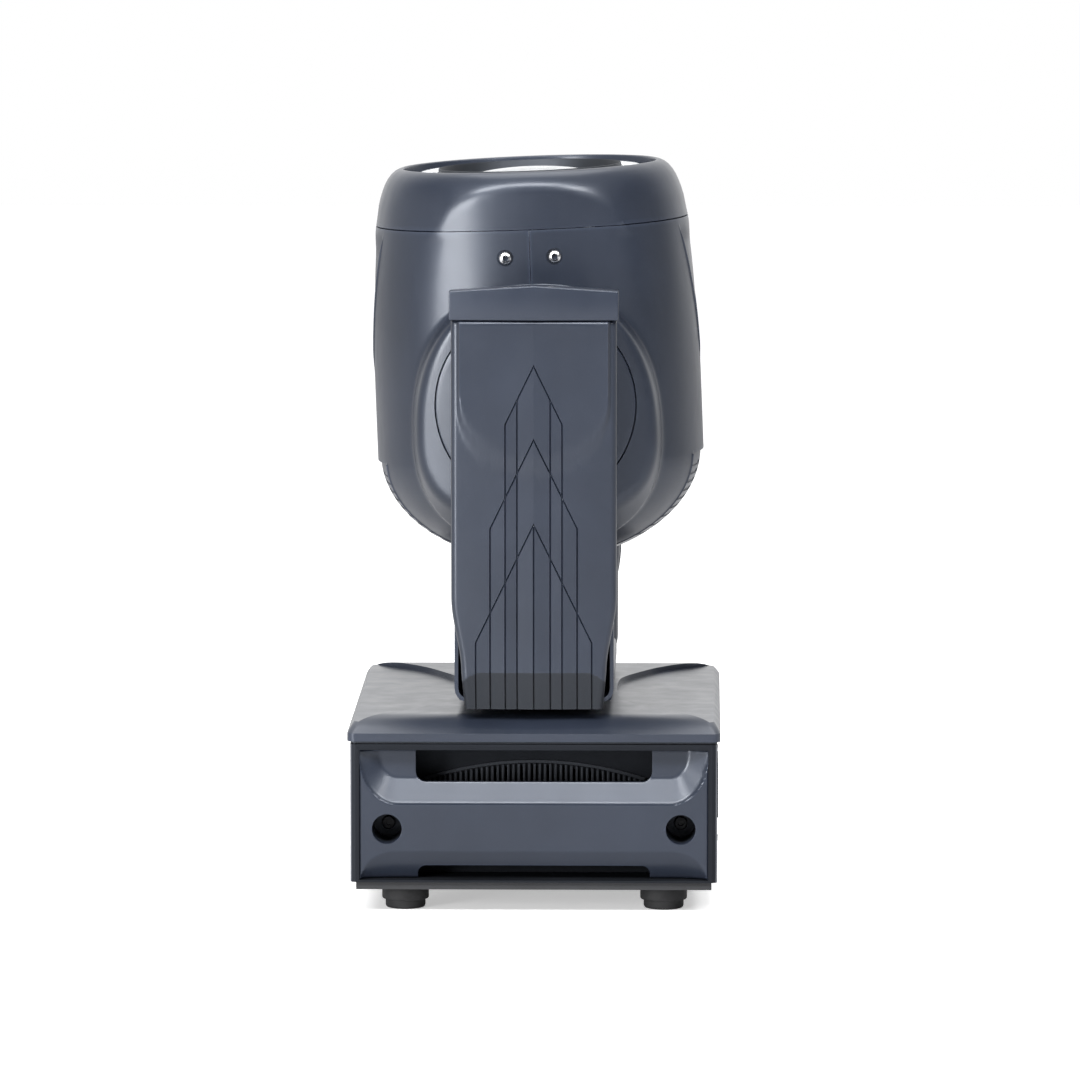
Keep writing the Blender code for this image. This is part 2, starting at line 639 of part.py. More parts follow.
def yoke_frame(yoke):
    """The bent steel U that carries the head, with seats for the tilt bearings."""
    plate_top = ARM_BOTTOM + 3.0
    top = 330.0
    outline = [(FRAME_OUTER_Y, ARM_BOTTOM), (FRAME_OUTER_Y, top)]
    outline += [(FRAME_INNER_Y, top), (FRAME_INNER_Y, plate_top)]
    outline += [(-y, z) for y, z in reversed(outline)]
    frame = prism("yoke_frame", [outline], -FRAME_HALF_X, FRAME_HALF_X, "X", yoke)
    cut(frame, rod("tilt_bearing_seats", 16.3, (0, -125, TILT_Z), (0, 125, TILT_Z), yoke))
    motor_z = TILT_Z - TILT_MOTOR_DROP
    cut(frame, rod("tilt_motor_hole", 12.0, (0, 110, motor_z), (0, 125, motor_z), yoke))
    cut(frame, rod("cable_hole", 8.0, (0, 0, 115), (0, 0, 130), yoke, segments=16))
    finish(frame, "steel")


def arm_outline(inset=0.0, low=ARM_BOTTOM, high=ARM_TOP):
    """Front view of an arm: straight sides that narrow below the waist."""
    half, bend, foot_half = ARM_HALF_X - inset, 42.2 - inset, 40.0 - inset
    right = [(foot_half, low + inset), (bend, ARM_BEND_Z), (half, 175.0), (half, high - inset)]
    return right + [(-x, z) for x, z in reversed(right)]


def outer_arm_cover(yoke, name, end):
    """The arm's outer cover: a crowned panel under a cap, hollow behind, with a sloping foot."""
    face, cap_face, split = end * ARM_FACE_Y, end * ARM_CAP_Y, end * (ARM_SPLIT_Y + GAP)
    cover = prism(name, [arm_outline(high=CAP_BOTTOM + 2)], *span(face, split), "Y", yoke)
    half, side_top, peak = ARM_HALF_X + 1.0, 365.5, 368.7
    cap = [(-half, CAP_BOTTOM), (half, CAP_BOTTOM), (half, side_top), (0.0, peak), (-half, side_top)]
    join(cover, prism(name + "_cap", [cap], *span(cap_face, split), "Y", yoke))
    ridge = [(-ARM_HALF_X + 3, face - end), (0.0, cap_face), (ARM_HALF_X - 3, face - end)]
    join(cover, prism(name + "_ridge", [ridge], ARM_BEND_Z + 1, CAP_BOTTOM + 1, "Z", yoke))
    hollow = span(end * (ARM_FACE_Y - ARM_WALL), end * (ARM_SPLIT_Y - 5))
    cut(cover, prism(name + "_hollow", [arm_outline(ARM_WALL)], *hollow, "Y", yoke))
    outside, inside, below = face + end * 3, face - end * 3.0, ARM_BOTTOM - 4.8
    slope = [(outside, ARM_BEND_Z), (face, ARM_BEND_Z), (inside, ARM_BOTTOM), (inside, below)]
    slope += [(outside, below)]
    cut(cover, prism(name + "_slope", [slope], -60.0, 60.0, "X", yoke))
    finish(cover, "housing")


def inner_arm_cover(yoke, name, end):
    """The arm's inner cover: a tray with a hole for the trunnion and a slot for the frame."""
    low, high, half = ARM_BOTTOM + 3.4, ARM_TOP - 3.0, ARM_HALF_X - 0.6
    outline = rounded_rectangle((-half, low), (half, high), 6.0, 3)
    cover = prism(name, [outline], *span(end * ARM_INNER_Y, end * ARM_SPLIT_Y), "Y", yoke)
    room = rounded_rectangle((-half + ARM_WALL, low + ARM_WALL), (half - ARM_WALL, high - ARM_WALL), 4.0, 2)
    hollow = span(end * (ARM_INNER_Y + ARM_WALL), end * (ARM_SPLIT_Y + 5))
    cut(cover, prism(name + "_hollow", [room], *hollow, "Y", yoke))
    start, stop = (0, end * (ARM_INNER_Y - 5), TILT_Z), (0, end * (ARM_INNER_Y + 7), TILT_Z)
    cut(cover, rod(name + "_shaft_hole", 14.0, start, stop, yoke))
    near, far = span(end * (FRAME_INNER_Y - 1), end * (FRAME_OUTER_Y + 1))
    slot_low, slot_high = (-FRAME_HALF_X - 1, near, low - 5), (FRAME_HALF_X + 1, far, low + 5)
    cut(cover, box(name + "_slot", slot_low, slot_high, yoke))
    finish(cover, "housing")


def crossbar(yoke):
    """The cover over the bottom of the yoke, open underneath and at its ends."""
    half, length = 46.0, ARM_INNER_Y - GAP
    outer = rectangle((-half, ARM_BOTTOM), (half, CROSSBAR_TOP))
    cover = prism("crossbar_cover", [outer], -length, length, "Y", yoke)
    bevel(cover, 4.0, segments=3)
    inner = rectangle((-half + ARM_WALL, ARM_BOTTOM - 5), (half - ARM_WALL, CROSSBAR_TOP - ARM_WALL))
    cut(cover, prism("crossbar_hollow", [inner], -length - 5, length + 5, "Y", yoke))
    finish(cover, "housing")


def tilt_drive(yoke):
    """Bearings, motor, motor pulley and belt of the tilt axis, in the rear arm."""
    motor_z = TILT_Z - TILT_MOTOR_DROP
    section = ring_profile(TRUNNION_RADIUS + GAP, 16.0, 115.8, 122.5)
    for end_name, along in (("front", "-Y"), ("rear", "+Y")):
        bearing = turned("tilt_bearing_" + end_name, section, yoke, 24, along=along)
        bearing.location = (0.0, 0.0, TILT_Z * MM)
        finish(bearing, "steel")
    low = (-MOTOR_HALF, FRAME_OUTER_Y + GAP, motor_z - MOTOR_HALF)
    high = (MOTOR_HALF, 142.0, motor_z + MOTOR_HALF)
    motor = bevel(box("tilt_motor", low, high, yoke), 3.0)
    join(motor, rod("tilt_motor_boss", 11.0, (0, 119.0, motor_z), (0, 125.0, motor_z), yoke))
    start, end = (0, 108.2, motor_z), (0, 120.0, motor_z)
    join(motor, rod("tilt_motor_shaft", MOTOR_SHAFT_RADIUS, start, end, yoke, 10))
    finish(motor, "dark_plastic")
    axle = pivot("tilt_motor_axle", (0, 0, motor_z), yoke)
    band = (TILT_BELT_LOW, TILT_BELT_HIGH)
    profile = pulley_profile(pitch_radius(MOTOR_TEETH) - GAP, MOTOR_SHAFT_RADIUS + GAP, *band)
    finish(turned("tilt_motor_pulley", profile, axle, 16, along="+Y"), "aluminium")
    loop = belt("tilt_belt", TILT_TEETH, TILT_MOTOR_DROP, *band, "Y", -90.0, (0.0, TILT_Z), yoke)
    finish(loop, "rubber")


def build_yoke():
    yoke = pivot("pan_pivot", (0, 0, 0))
    spindle(yoke)
    yoke_frame(yoke)
    crossbar(yoke)
    for end_name, end in ENDS.items():
        outer_arm_cover(yoke, "arm_outer_cover_" + end_name, end)
        inner_arm_cover(yoke, "arm_inner_cover_" + end_name, end)
    tilt_drive(yoke)
    return yoke


# Head


def bowl(radius, depth, count=6):
    """The rounded bottom of the head, from its side to its lowest point."""
    turns = [math.pi / 2 * i / count for i in range(1, count + 1)]
    return [(max(0.0, radius * math.cos(t)), BOWL_TOP - depth * math.sin(t)) for t in turns]


def head_form(name, inset, top, head):
    """The head's outer form, or the same form one wall thickness further in."""
    side = [(0.0, top), (93.3 - inset, top), (96.1 - inset, 55.0), (96.4 - inset, 20.0)]
    side += [(HEAD_RADIUS - inset, -5.0), (HEAD_RADIUS - inset, BOWL_TOP)]
    side += bowl(HEAD_RADIUS - inset, BOWL_DEPTH - inset)
    form = turned(name, side, head, steps=40, closed=False)
    for end_name, end in ENDS.items():
        near, far = end * (HEAD_FLAT_Y - inset), end * (HEAD_RADIUS + 10)
        low, high = (-110.0, min(near, far), -120.0), (110.0, max(near, far), SEAM + 20)
        cut(form, box(name + "_flat_" + end_name, low, high, head))
    return form


def head_shells(head):
    """The two half shells, split along the plane through both axes."""
    hollow = head_form("head_hollow", HEAD_WALL, SEAM + 5, head)
    for side_name, side in SIDES.items():
        shell = head_form("head_shell_" + side_name, 0.0, SEAM, head)
        cut(shell, hollow)
        near, far = span(side * GAP / 2, -side * 120.0)
        cut(shell, box(shell.name + "_half", (near, -110, -120), (far, 110, 120), head))
        cut(shell, rod(shell.name + "_hub_hole", 18.5, (0, -100, 0), (0, 100, 0), head))
        screw_x = side * HEAD_SCREW_X
        start, end = (screw_x, -100, HEAD_SCREW_Z), (screw_x, 100, HEAD_SCREW_Z)
        cut(shell, rod(shell.name + "_screw_holes", 2.5, start, end, head, segments=8))
        near, far = span(side * 50.0, side * 110.0)
        for index in range(5):
            z, half = -46.0 - 8.0 * index, 27.0 - 2.5 * index
            low, high = (near, -half, z - 1.6), (far, half, z + 1.6)
            cut(shell, box(shell.name + "_vent_" + str(index), low, high, head))
        finish(shell, "housing")


def front_ring(head):
    """Bezel, lens retainer, halo ring and front lens."""
    outside = [(RIM_INNER_RADIUS, RIM_TOP), (79.6, 136.3), (82.7, 134.4), (85.5, 130.6), (88.5, 124.5)]
    outside += [(91.1, 116.5), (93.3, SEAM + GAP)]
    inside = [(90.0, SEAM + GAP), (88.0, 116.0), (87.0, LENS_SEAT), (RIM_INNER_RADIUS, LENS_SEAT)]
    bezel = turned("front_bezel", outside + inside, head, steps=40)
    for end_name, end in ENDS.items():
        near, far = span(end * (HEAD_FLAT_Y + 0.6), end * 110.0)
        cut(bezel, box("bezel_facet_" + end_name, (-60, near, 90), (60, far, 140), head))
    finish(bezel, "housing")
    plate_top, plate_low, plate_radius = LENS_SEAT - GAP, LENS_SEAT - 3.3, 85.0
    tube_outer, tube_inner = HALO_INNER - GAP, LENS_RADIUS + 0.5
    ledge = 49.0
    profile = [(tube_outer, RIM_TOP - 1), (tube_outer, plate_top), (plate_radius, plate_top)]
    profile += [(plate_radius, plate_low), (ledge, plate_low), (ledge, LENS_SEAT)]
    profile += [(tube_inner, LENS_SEAT), (tube_inner, RIM_TOP - 1)]
    finish(turned("lens_retainer", profile, head, steps=32), "dark_plastic")
    section = ring_profile(HALO_INNER, HALO_OUTER, LENS_SEAT, RIM_TOP - 0.5)
    finish(turned("halo_ring", section, head, 40), "halo")
    rise, edge, seat = 9.0, 3.0, LENS_SEAT + GAP
    dome = [(LENS_RADIUS * i / 4, LENS_SEAT + edge + rise * (1 - (i / 4) ** 2)) for i in range(5)]
    lens = turned("front_lens", [*dome, (LENS_RADIUS, seat), (0.0, seat)], head, 32, closed=False)
    finish(lens, "glass")


PLATE_IN_Y = 78.0
PLATE_OUT_Y = 81.0
LOWER_PLATE = -15.7
WHEEL_PLATE = 22.0
FRONT_PLATE = 97.0
RAIL_Y = 48.0


def head_frame(head):
    """The chassis inside the head: two side plates, three cross plates and two focus rails."""
    half, sheet = 36.0, 2.0
    low, high = (-half, -PLATE_OUT_Y, WHEEL_PLATE), (half, PLATE_OUT_Y, WHEEL_PLATE + sheet)
    frame = box("head_frame", low, high, head)
    for end_name, end in ENDS.items():
        near, far = span(end * PLATE_IN_Y, end * PLATE_OUT_Y)
        low, high = (-half, near, LOWER_PLATE), (half, far, FRONT_PLATE + sheet)
        join(frame, box("frame_side_" + end_name, low, high, head))
    reach = PLATE_IN_Y + 1
    for name, z in (("frame_lower", LOWER_PLATE), ("frame_front", FRONT_PLATE)):
        join(frame, box(name, (-half, -reach, z), (half, reach, z + sheet), head))
    for y in (-RAIL_Y, RAIL_Y):
        start, end = (0, y, WHEEL_PLATE + 1), (0, y, FRONT_PLATE + 1)
        join(frame, rod("focus_rail_" + str(int(y)), 2.0, start, end, head, 8))
    cut(frame, rod("led_opening", 24.0, (0, 0, LOWER_PLATE - 5), (0, 0, LOWER_PLATE + 5), head, 20))
    cut(frame, rod("gate_opening", 9.0, (0, 0, WHEEL_PLATE - 3), (0, 0, WHEEL_PLATE + 5), head, 16))
    cut(frame, rod("front_opening", 38.0, (0, 0, FRONT_PLATE - 3), (0, 0, FRONT_PLATE + 5), head, 20))
    for side in (-1, 1):
        start, end = (side * WHEEL_OFFSET, 0, WHEEL_PLATE - 3), (side * WHEEL_OFFSET, 0, WHEEL_PLATE + 5)
        cut(frame, rod("axle_hole_" + str(side), 2.5, start, end, head, 8))
        start, end = (side * HEAD_SCREW_X, -95, HEAD_SCREW_Z), (side * HEAD_SCREW_X, 95, HEAD_SCREW_Z)
        cut(frame, rod("frame_screw_holes_" + str(side), 2.5, start, end, head, 8))
    finish(frame, "aluminium")


def trunnions(head):
    """Hub discs with the stub shafts that the head turns on, and the tilt pulley."""
    root, disc, tip, bore = PLATE_OUT_Y + GAP, HEAD_FLAT_Y + GAP, 126.0, 6.0
    crown = 98.5
    for end_name, along in (("front", "-Y"), ("rear", "+Y")):
        profile = [(TRUNNION_RADIUS, tip), (TRUNNION_RADIUS, crown), (HUB_RADIUS - 3, crown)]
        profile += [(HUB_RADIUS, crown - 2), (HUB_RADIUS, disc), (18.0, disc), (18.0, root)]
        profile += [(bore, root), (bore, tip)]
        finish(turned("trunnion_" + end_name, profile, head, 32, along=along), "housing")
    radius, hole = pitch_radius(TILT_TEETH) - GAP, TRUNNION_RADIUS + GAP
    profile = pulley_profile(radius, hole, TILT_BELT_LOW, TILT_BELT_HIGH)
    finish(turned("tilt_pulley", profile, head, 32, along="+Y"), "aluminium")


def head_screws(head):
    """Button-head screws that hold the half shells to the head frame."""
    seat = HEAD_FLAT_Y + 0.1
    index = 0
    for along, end in (("-Y", -1), ("+Y", 1)):
        for side in (-1, 1):
            index += 1
            profile = [(0, seat + 0.9), (1.2, seat + 0.9), (1.2, seat + 2.2), (2.4, seat + 2.0), (3.8, seat)]
            profile += [(2.0, seat), (2.0, seat - 12.0), (0, seat - 12.0)]
            screw = turned("head_screw_" + str(index), profile, head, 12, closed=False, along=along)
            screw.location = (side * HEAD_SCREW_X * MM, 0.0, HEAD_SCREW_Z * MM)
            finish(screw, "screw")


FIN_COUNT = 11
FIN_THICK = 2.0
SINK_HALF = 40.0
SINK_BASE = LOWER_PLATE - GAP
FIN_TIP = SINK_BASE - 50.0
FAN_TOP_Z = FIN_TIP - 1.5
FAN_LOW_Z = FIN_TIP - 17.0


def led_module(head):
    """The light source: a disc with a small dome on it."""
    floor, seat = LOWER_PLATE, LOWER_PLATE + 2
    dome = [(u, seat + v * 0.7) for u, v in arc((0, 0), 10.0, 90, 0, 3)]
    dome[0] = (0.0, dome[0][1])
    profile = [*dome, (23.0, seat), (23.0, floor), (0.0, floor)]
    finish(turned("led_module", profile, head, 24, closed=False), "halo")


def heat_sink(head):
    """A comb of straight fins under a thick web."""
    web = SINK_BASE - 6.0
    pitch = (2 * SINK_HALF - FIN_THICK) / (FIN_COUNT - 1)
    comb = [(SINK_HALF, SINK_BASE), (-SINK_HALF, SINK_BASE)]
    for index in range(FIN_COUNT):
        x = -SINK_HALF + index * pitch
        comb += [(x, FIN_TIP), (x + FIN_THICK, FIN_TIP)]
        if index < FIN_COUNT - 1:
            comb += [(x + FIN_THICK, web), (x + pitch, web)]
    finish(prism("heat_sink", [comb], -SINK_HALF, SINK_HALF, "Y", head), "aluminium")


def fan_frame(head):
    """The fan's square frame, with a hub plate on four struts."""
    outline = rounded_rectangle((-FAN_HALF, -FAN_HALF), (FAN_HALF, FAN_HALF), 4.0, 3)
    throat = circle((0, 0), 37.5, 28)
    frame = prism("fan_frame", [outline, throat], FAN_LOW_Z, FAN_TOP_Z, "Z", head)
    reach, half, high = 39.0, 2.0, FAN_LOW_Z + 1.5
    for index in range(2):
        strut = box("fan_strut_" + str(index), (-reach, -half, FAN_LOW_Z), (reach, half, high), head)
        strut.rotation_euler = (0.0, 0.0, math.radians(45.0 + 90.0 * index))
        join(frame, strut)
    join(frame, rod("fan_hub_plate", 14.0, (0, 0, FAN_LOW_Z), (0, 0, high), head, 16))
    finish(frame, "dark_plastic")


def fan_rotor(head):
    """The hub and its pitched blades, round the head's optical axis."""
    axle = pivot("fan_axle", (0, 0, 0), head)
    rotor = rod("fan_rotor", 14.0, (0, 0, FAN_LOW_Z + 2.5), (0, 0, FAN_TOP_Z - 1.0), axle, 16)
    size = Vector((24.0, 1.4, 12.0)) * MM
    place = Vector((24.0, 0.0, (FAN_LOW_Z + FAN_TOP_Z) / 2 + 0.5)) * MM
    mesh = bpy.data.meshes.new("fan_blades")
    bm = bmesh.new()
    pitch = Matrix.Rotation(math.radians(42.0), 3, "X")
    for index in range(FAN_BLADES):
        spin = Matrix.Rotation(2 * math.pi * index / FAN_BLADES, 3, "Z")
        blade = bmesh.ops.create_cube(bm, size=1.0)["verts"]
        bmesh.ops.scale(bm, vec=size, verts=blade)
        bmesh.ops.rotate(bm, cent=(0, 0, 0), matrix=pitch, verts=blade)
        bmesh.ops.translate(bm, vec=place, verts=blade)
        bmesh.ops.rotate(bm, cent=(0, 0, 0), matrix=spin, verts=blade)
    bm.to_mesh(mesh)
    bm.free()
    join(rotor, add_object("fan_blades", mesh, axle))
    finish(rotor, "dark_plastic")


def effect_wheel(head, name, side, disc_low, motor_low, motor_high, openings):
    """A wheel with openings that pass the light path, and the small motor it sits on."""
    x = side * WHEEL_OFFSET
    disc_high = disc_low + 1.2
    axle = pivot(name + "_wheel_axle", (x, 0, 0), head)
    holes = [circle((0, 0), 2.0, 8)]
    first = math.pi if side > 0 else 0.0
    for index in range(openings):
        angle = first + 2 * math.pi * index / openings
        centre = (WHEEL_OFFSET * math.cos(angle), WHEEL_OFFSET * math.sin(angle))
        holes.append(circle(centre, 5.5, 10))
    wheel = prism(name + "_wheel", [circle((0, 0), WHEEL_RADIUS, 32), *holes], disc_low, disc_high, "Z", axle)
    finish(wheel, "aluminium")
    motor = rod(name + "_motor", 10.0, (x, 0, motor_low), (x, 0, motor_high), head, 16)
    if motor_low > disc_low:
        start, end = disc_low - 1.0, motor_low + 1.0
    else:
        start, end = motor_high - 1.0, disc_high + 1.0
    join(motor, rod(name + "_motor_shaft", 1.6, (x, 0, start), (x, 0, end), head, 8))
    finish(motor, "dark_plastic")


def focus_carriage(head):
    """The lens carriage that slides on the two rails."""
    guide = pivot("focus_guide", (0, 0, 62.0), head)
    ears = math.degrees(math.asin(10.0 / 30.0))
    outline = arc((0, 0), 30.0, -90 + ears, 90 - ears, 10) + [(10.0, 54.0), (-10.0, 54.0)]
    outline += arc((0, 0), 30.0, 90 + ears, 270 - ears, 10) + [(-10.0, -54.0), (10.0, -54.0)]
    rails = [circle((0, y), 2.4, 8) for y in (-RAIL_Y, RAIL_Y)]
    carriage = prism("focus_carriage", [outline, *rails], -3.0, 3.0, "Z", guide)
    dome = [(24.0 * i / 3, 3.0 + 5.0 * (1 - (i / 3) ** 2)) for i in range(4)]
    join(carriage, turned("focus_glass", [*dome, (24.0, 1.0), (0.0, 1.0)], guide, 20, closed=False))
    finish(carriage, "dark_plastic")


def build_head(yoke):
    head = pivot("tilt_pivot", (0, 0, TILT_Z), yoke, (0.0, REST_TILT, 0.0))
    head_shells(head)
    front_ring(head)
    head_frame(head)
    trunnions(head)
    head_screws(head)
    led_module(head)
    heat_sink(head)
    fan_frame(head)
    fan_rotor(head)
    effect_wheel(head, "colour", 1, 14.0, WHEEL_PLATE + 2.3, WHEEL_PLATE + 16.0, 8)
    effect_wheel(head, "gobo", -1, 30.0, WHEEL_PLATE - 14.0, WHEEL_PLATE - 0.3, 8)
    focus_carriage(head)


build_base()
build_head(build_yoke())
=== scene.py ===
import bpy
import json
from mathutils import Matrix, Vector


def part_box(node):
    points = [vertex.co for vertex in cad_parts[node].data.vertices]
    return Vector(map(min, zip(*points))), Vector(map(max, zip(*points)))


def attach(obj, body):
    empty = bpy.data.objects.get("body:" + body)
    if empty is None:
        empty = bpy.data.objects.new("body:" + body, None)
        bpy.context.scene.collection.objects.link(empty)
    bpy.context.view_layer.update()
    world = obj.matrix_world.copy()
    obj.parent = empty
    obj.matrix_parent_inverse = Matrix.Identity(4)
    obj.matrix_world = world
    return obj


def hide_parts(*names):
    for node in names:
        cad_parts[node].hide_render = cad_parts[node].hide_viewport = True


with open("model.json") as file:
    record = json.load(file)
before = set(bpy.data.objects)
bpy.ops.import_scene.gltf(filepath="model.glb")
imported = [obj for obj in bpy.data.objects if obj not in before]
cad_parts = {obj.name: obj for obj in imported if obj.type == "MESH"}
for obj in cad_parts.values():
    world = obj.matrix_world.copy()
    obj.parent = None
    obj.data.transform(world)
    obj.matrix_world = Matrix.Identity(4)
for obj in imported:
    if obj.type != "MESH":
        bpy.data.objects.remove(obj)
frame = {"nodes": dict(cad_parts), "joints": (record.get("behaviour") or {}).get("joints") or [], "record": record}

"""Looks of the moving head light: fine shells and covers, procedural materials and a soft studio.

Lengths are millimetres in the constants and in the helpers' arguments, and become metres where a
mesh is made. Head pieces are made in the head's own frame, with heights counted from the tilt axis
along the light's axis, and are then placed by HEAD_PLACE.
"""

import json
import math

import bmesh
import bpy
import numpy as np
from mathutils import Matrix, Vector

MM = 0.001
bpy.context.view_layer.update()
JOINTS = {joint["name"]: joint for joint in frame["joints"]}
NODES = frame["nodes"]
SLOTS = {part["node"]: part["material_slot"] for part in frame["record"]["subparts"]}
ENDS = {"front": -1, "rear": 1}
SIDES = {"left": -1, "right": 1}


def box_mm(node):
    """The lowest and highest corner of a CAD node, in millimetres."""
    low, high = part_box(node)
    return np.array(low) / MM, np.array(high) / MM


def middle_mm(node):
    """The middle of a CAD node's box, in millimetres."""
    low, high = box_mm(node)
    return (low + high) / 2


# Frame of the head
TILT_Z = JOINTS["tilt"]["pos_m"][2] / MM
OPTIC = Vector(JOINTS["focus"]["axis"])
REST_TILT = math.atan2(OPTIC.x, OPTIC.z)
HEAD_PLACE = Matrix.Translation((0.0, 0.0, TILT_Z * MM)) @ Matrix.Rotation(REST_TILT, 4, "Y")

# Meshes


def add_object(name, data):
    """A new object in the scene."""
    obj = bpy.data.objects.new(name, data)
    bpy.context.scene.collection.objects.link(obj)
    return obj


def mesh_object(name, points, faces, place=None, angle=32.0):
    """A mesh object from points in millimetres, with its faces turned outwards."""
    mesh = bpy.data.meshes.new(name)
    mesh.from_pydata([tuple(float(c) * MM for c in p) for p in points], [], faces)
    bm = bmesh.new()
    bm.from_mesh(mesh)
    bmesh.ops.remove_doubles(bm, verts=bm.verts, dist=0.000001)
    bmesh.ops.dissolve_degenerate(bm, dist=0.000001, edges=bm.edges)
    bmesh.ops.recalc_face_normals(bm, faces=bm.faces)
    if place is not None:
        bmesh.ops.transform(bm, matrix=place, verts=bm.verts)
    bm.to_mesh(mesh)
    bm.free()
    mesh.shade_smooth()
    mesh.set_sharp_from_angle(angle=math.radians(angle))
    return add_object(name, mesh)


def lattice_faces(rows, columns, wrap=False, start=0):
    """Quads over a grid of points stored row by row."""
    faces = []
    for r in range(rows - 1):
        for c in range(columns if wrap else columns - 1):
            after = (c + 1) % columns
            a, b = start + r * columns + c, start + r * columns + after
            faces.append((a, b, b + columns, a + columns))
    return faces


def slab(name, grid, back_of, place=None, angle=32.0):
    """A closed solid: a grid of front points, walls to the back, and one flat back face."""
    rows, columns = len(grid), len(grid[0])
    points = [p for row in grid for p in row]
    faces = lattice_faces(rows, columns)
    rim = list(range(columns))
    rim += [r * columns + columns - 1 for r in range(1, rows)]
    rim += [(rows - 1) * columns + c for c in range(columns - 2, -1, -1)]
    rim += [r * columns for r in range(rows - 2, 0, -1)]
    first = len(points)
    points += [back_of(points[i]) for i in rim]
    count = len(rim)
    for i in range(count):
        j = (i + 1) % count
        faces.append((rim[j], rim[i], first + i, first + j))
    faces.append(tuple(first + i for i in range(count)))
    return mesh_object(name, points, faces, place, angle)


def revolve(name, profile, steps=128, place=None, shape=None, angle=32.0):
    """A closed profile of (radius, height) turned round Z; shape may change each pair at each turn."""
    count = len(profile)
    points = []
    for i in range(steps):
        turn = 2 * math.pi * i / steps
        for k, (radius, height) in enumerate(profile):
            if shape:
                radius, height = shape(k, turn, radius, height)
            points.append((radius * math.cos(turn), radius * math.sin(turn), height))
    faces = []
    for i in range(steps):
        j = (i + 1) % steps
        for k in range(count):
            n = (k + 1) % count
            faces.append((i * count + k, j * count + k, j * count + n, i * count + n))
    return mesh_object(name, points, faces, place, angle)


def ellipse_arc(centre, size, start, end, count):
    """Points along an elliptical arc, angles in degrees."""
    turns = [math.radians(start + (end - start) * i / count) for i in range(count + 1)]
    return [(centre[0] + size[0] * math.cos(t), centre[1] + size[1] * math.sin(t)) for t in turns]


def circle(centre, radius, count):
    """The outline of a circle."""
    return ellipse_arc(centre, (radius, radius), 0, 360 - 360 / count, count - 1)


PRISM_ORDER = {"X": (2, 0, 1), "Y": (0, 2, 1), "Z": (0, 1, 2)}


def prism(name, outline, low, high, axis, place=None, angle=32.0):
    """A flat outline made thick along an axis."""
    count = len(outline)
    corners = [(u, v, level) for level in (low, high) for u, v in outline]
    points = [tuple(corner[i] for i in PRISM_ORDER[axis]) for corner in corners]
    faces = [tuple(range(count)), tuple(range(2 * count - 1, count - 1, -1))]
    faces += [(i, (i + 1) % count, count + (i + 1) % count, count + i) for i in range(count)]
    return mesh_object(name, points, faces, place, angle)


def disc(name, centre, radius, low, high, axis, count=40):
    """A cylinder along an axis."""
    return prism(name, circle(centre, radius, count), low, high, axis)


def rounded_rectangle(low, high, radius, count=6):
    """The outline of a rectangle with round corners, from its lowest and highest corner."""
    corners = [(low[0] + radius, low[1] + radius, 180), (high[0] - radius, low[1] + radius, 270)]
    corners += [(high[0] - radius, high[1] - radius, 0), (low[0] + radius, high[1] - radius, 90)]
    outline = []
    for u, v, start in corners:
        outline += ellipse_arc((u, v), (radius, radius), start, start + 90, count)
    return outline


def add_bevel(obj, width, segments=3, angle=35.0):
    """Round the edges that are sharper than an angle."""
    modifier = obj.modifiers.new("round", "BEVEL")
    modifier.width = width * MM
    modifier.segments = segments
    modifier.limit_method = "ANGLE"
    modifier.angle_limit = math.radians(angle)
    modifier.harden_normals = False
    return obj


def carve(obj, *tools, angle=32.0):
    """Cut the tools out of the object for good, and remove the tools."""
    for tool in tools:
        modifier = obj.modifiers.new(tool.name, "BOOLEAN")
        modifier.operation = "DIFFERENCE"
        modifier.solver = "EXACT"
        modifier.object = tool
    bake(obj, angle)
    for tool in tools:
        bpy.data.objects.remove(tool, do_unlink=True)
    return obj


def bake(obj, angle=32.0):
    """Apply the object's modifiers."""
    bpy.context.view_layer.update()
    mesh = bpy.data.meshes.new_from_object(obj.evaluated_get(bpy.context.evaluated_depsgraph_get()))
    obj.modifiers.clear()
    obj.data = mesh
    mesh.shade_smooth()
    mesh.set_sharp_from_angle(angle=math.radians(angle))
    return obj


def merged(name, pieces):
    """Several separate tools as one object."""
    bm = bmesh.new()
    for piece in pieces:
        bm.from_mesh(piece.data)
        bpy.data.objects.remove(piece, do_unlink=True)
    mesh = bpy.data.meshes.new(name)
    bm.to_mesh(mesh)
    bm.free()
    return add_object(name, mesh)


def smooth_step(value, low, high):
    """Rises softly from 0 to 1 while the value goes from low to high."""
    t = min(1.0, max(0.0, (value - low) / (high - low)))
    return t * t * (3 - 2 * t)


def soft_min(a, b, width):
    """The smaller of two values, with a rounded change-over."""
    blend = np.maximum(0.0, 1.0 - np.abs(a - b) / width)
    return np.minimum(a, b) - blend * blend * width / 4


def rounding(distance, radius):
    """How far a rounded edge has dropped, at a distance in from the edge."""
    if distance >= radius:
        return 0.0
    return radius - math.sqrt(max(0.0, radius**2 - (radius - distance) ** 2))


def shift(x, y, z):
    """A move by millimetres."""
    return Matrix.Translation((x * MM, y * MM, z * MM))


def facing(end):
    """Turns a piece made round Z so that its Z points along Y, out of the front or the rear."""
    return Matrix.Rotation(math.radians(-90 * end), 4, "X")


def place_piece(obj, body, slot, *nodes, material=None):
    """Give a piece its slot's material or another, its body and the CAD nodes that it stands for."""
    obj.data.materials.clear()
    obj.data.materials.append(MATERIALS[material or slot])
    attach(obj, body)
    if nodes:
        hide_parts(*nodes)
    return obj


# Materials


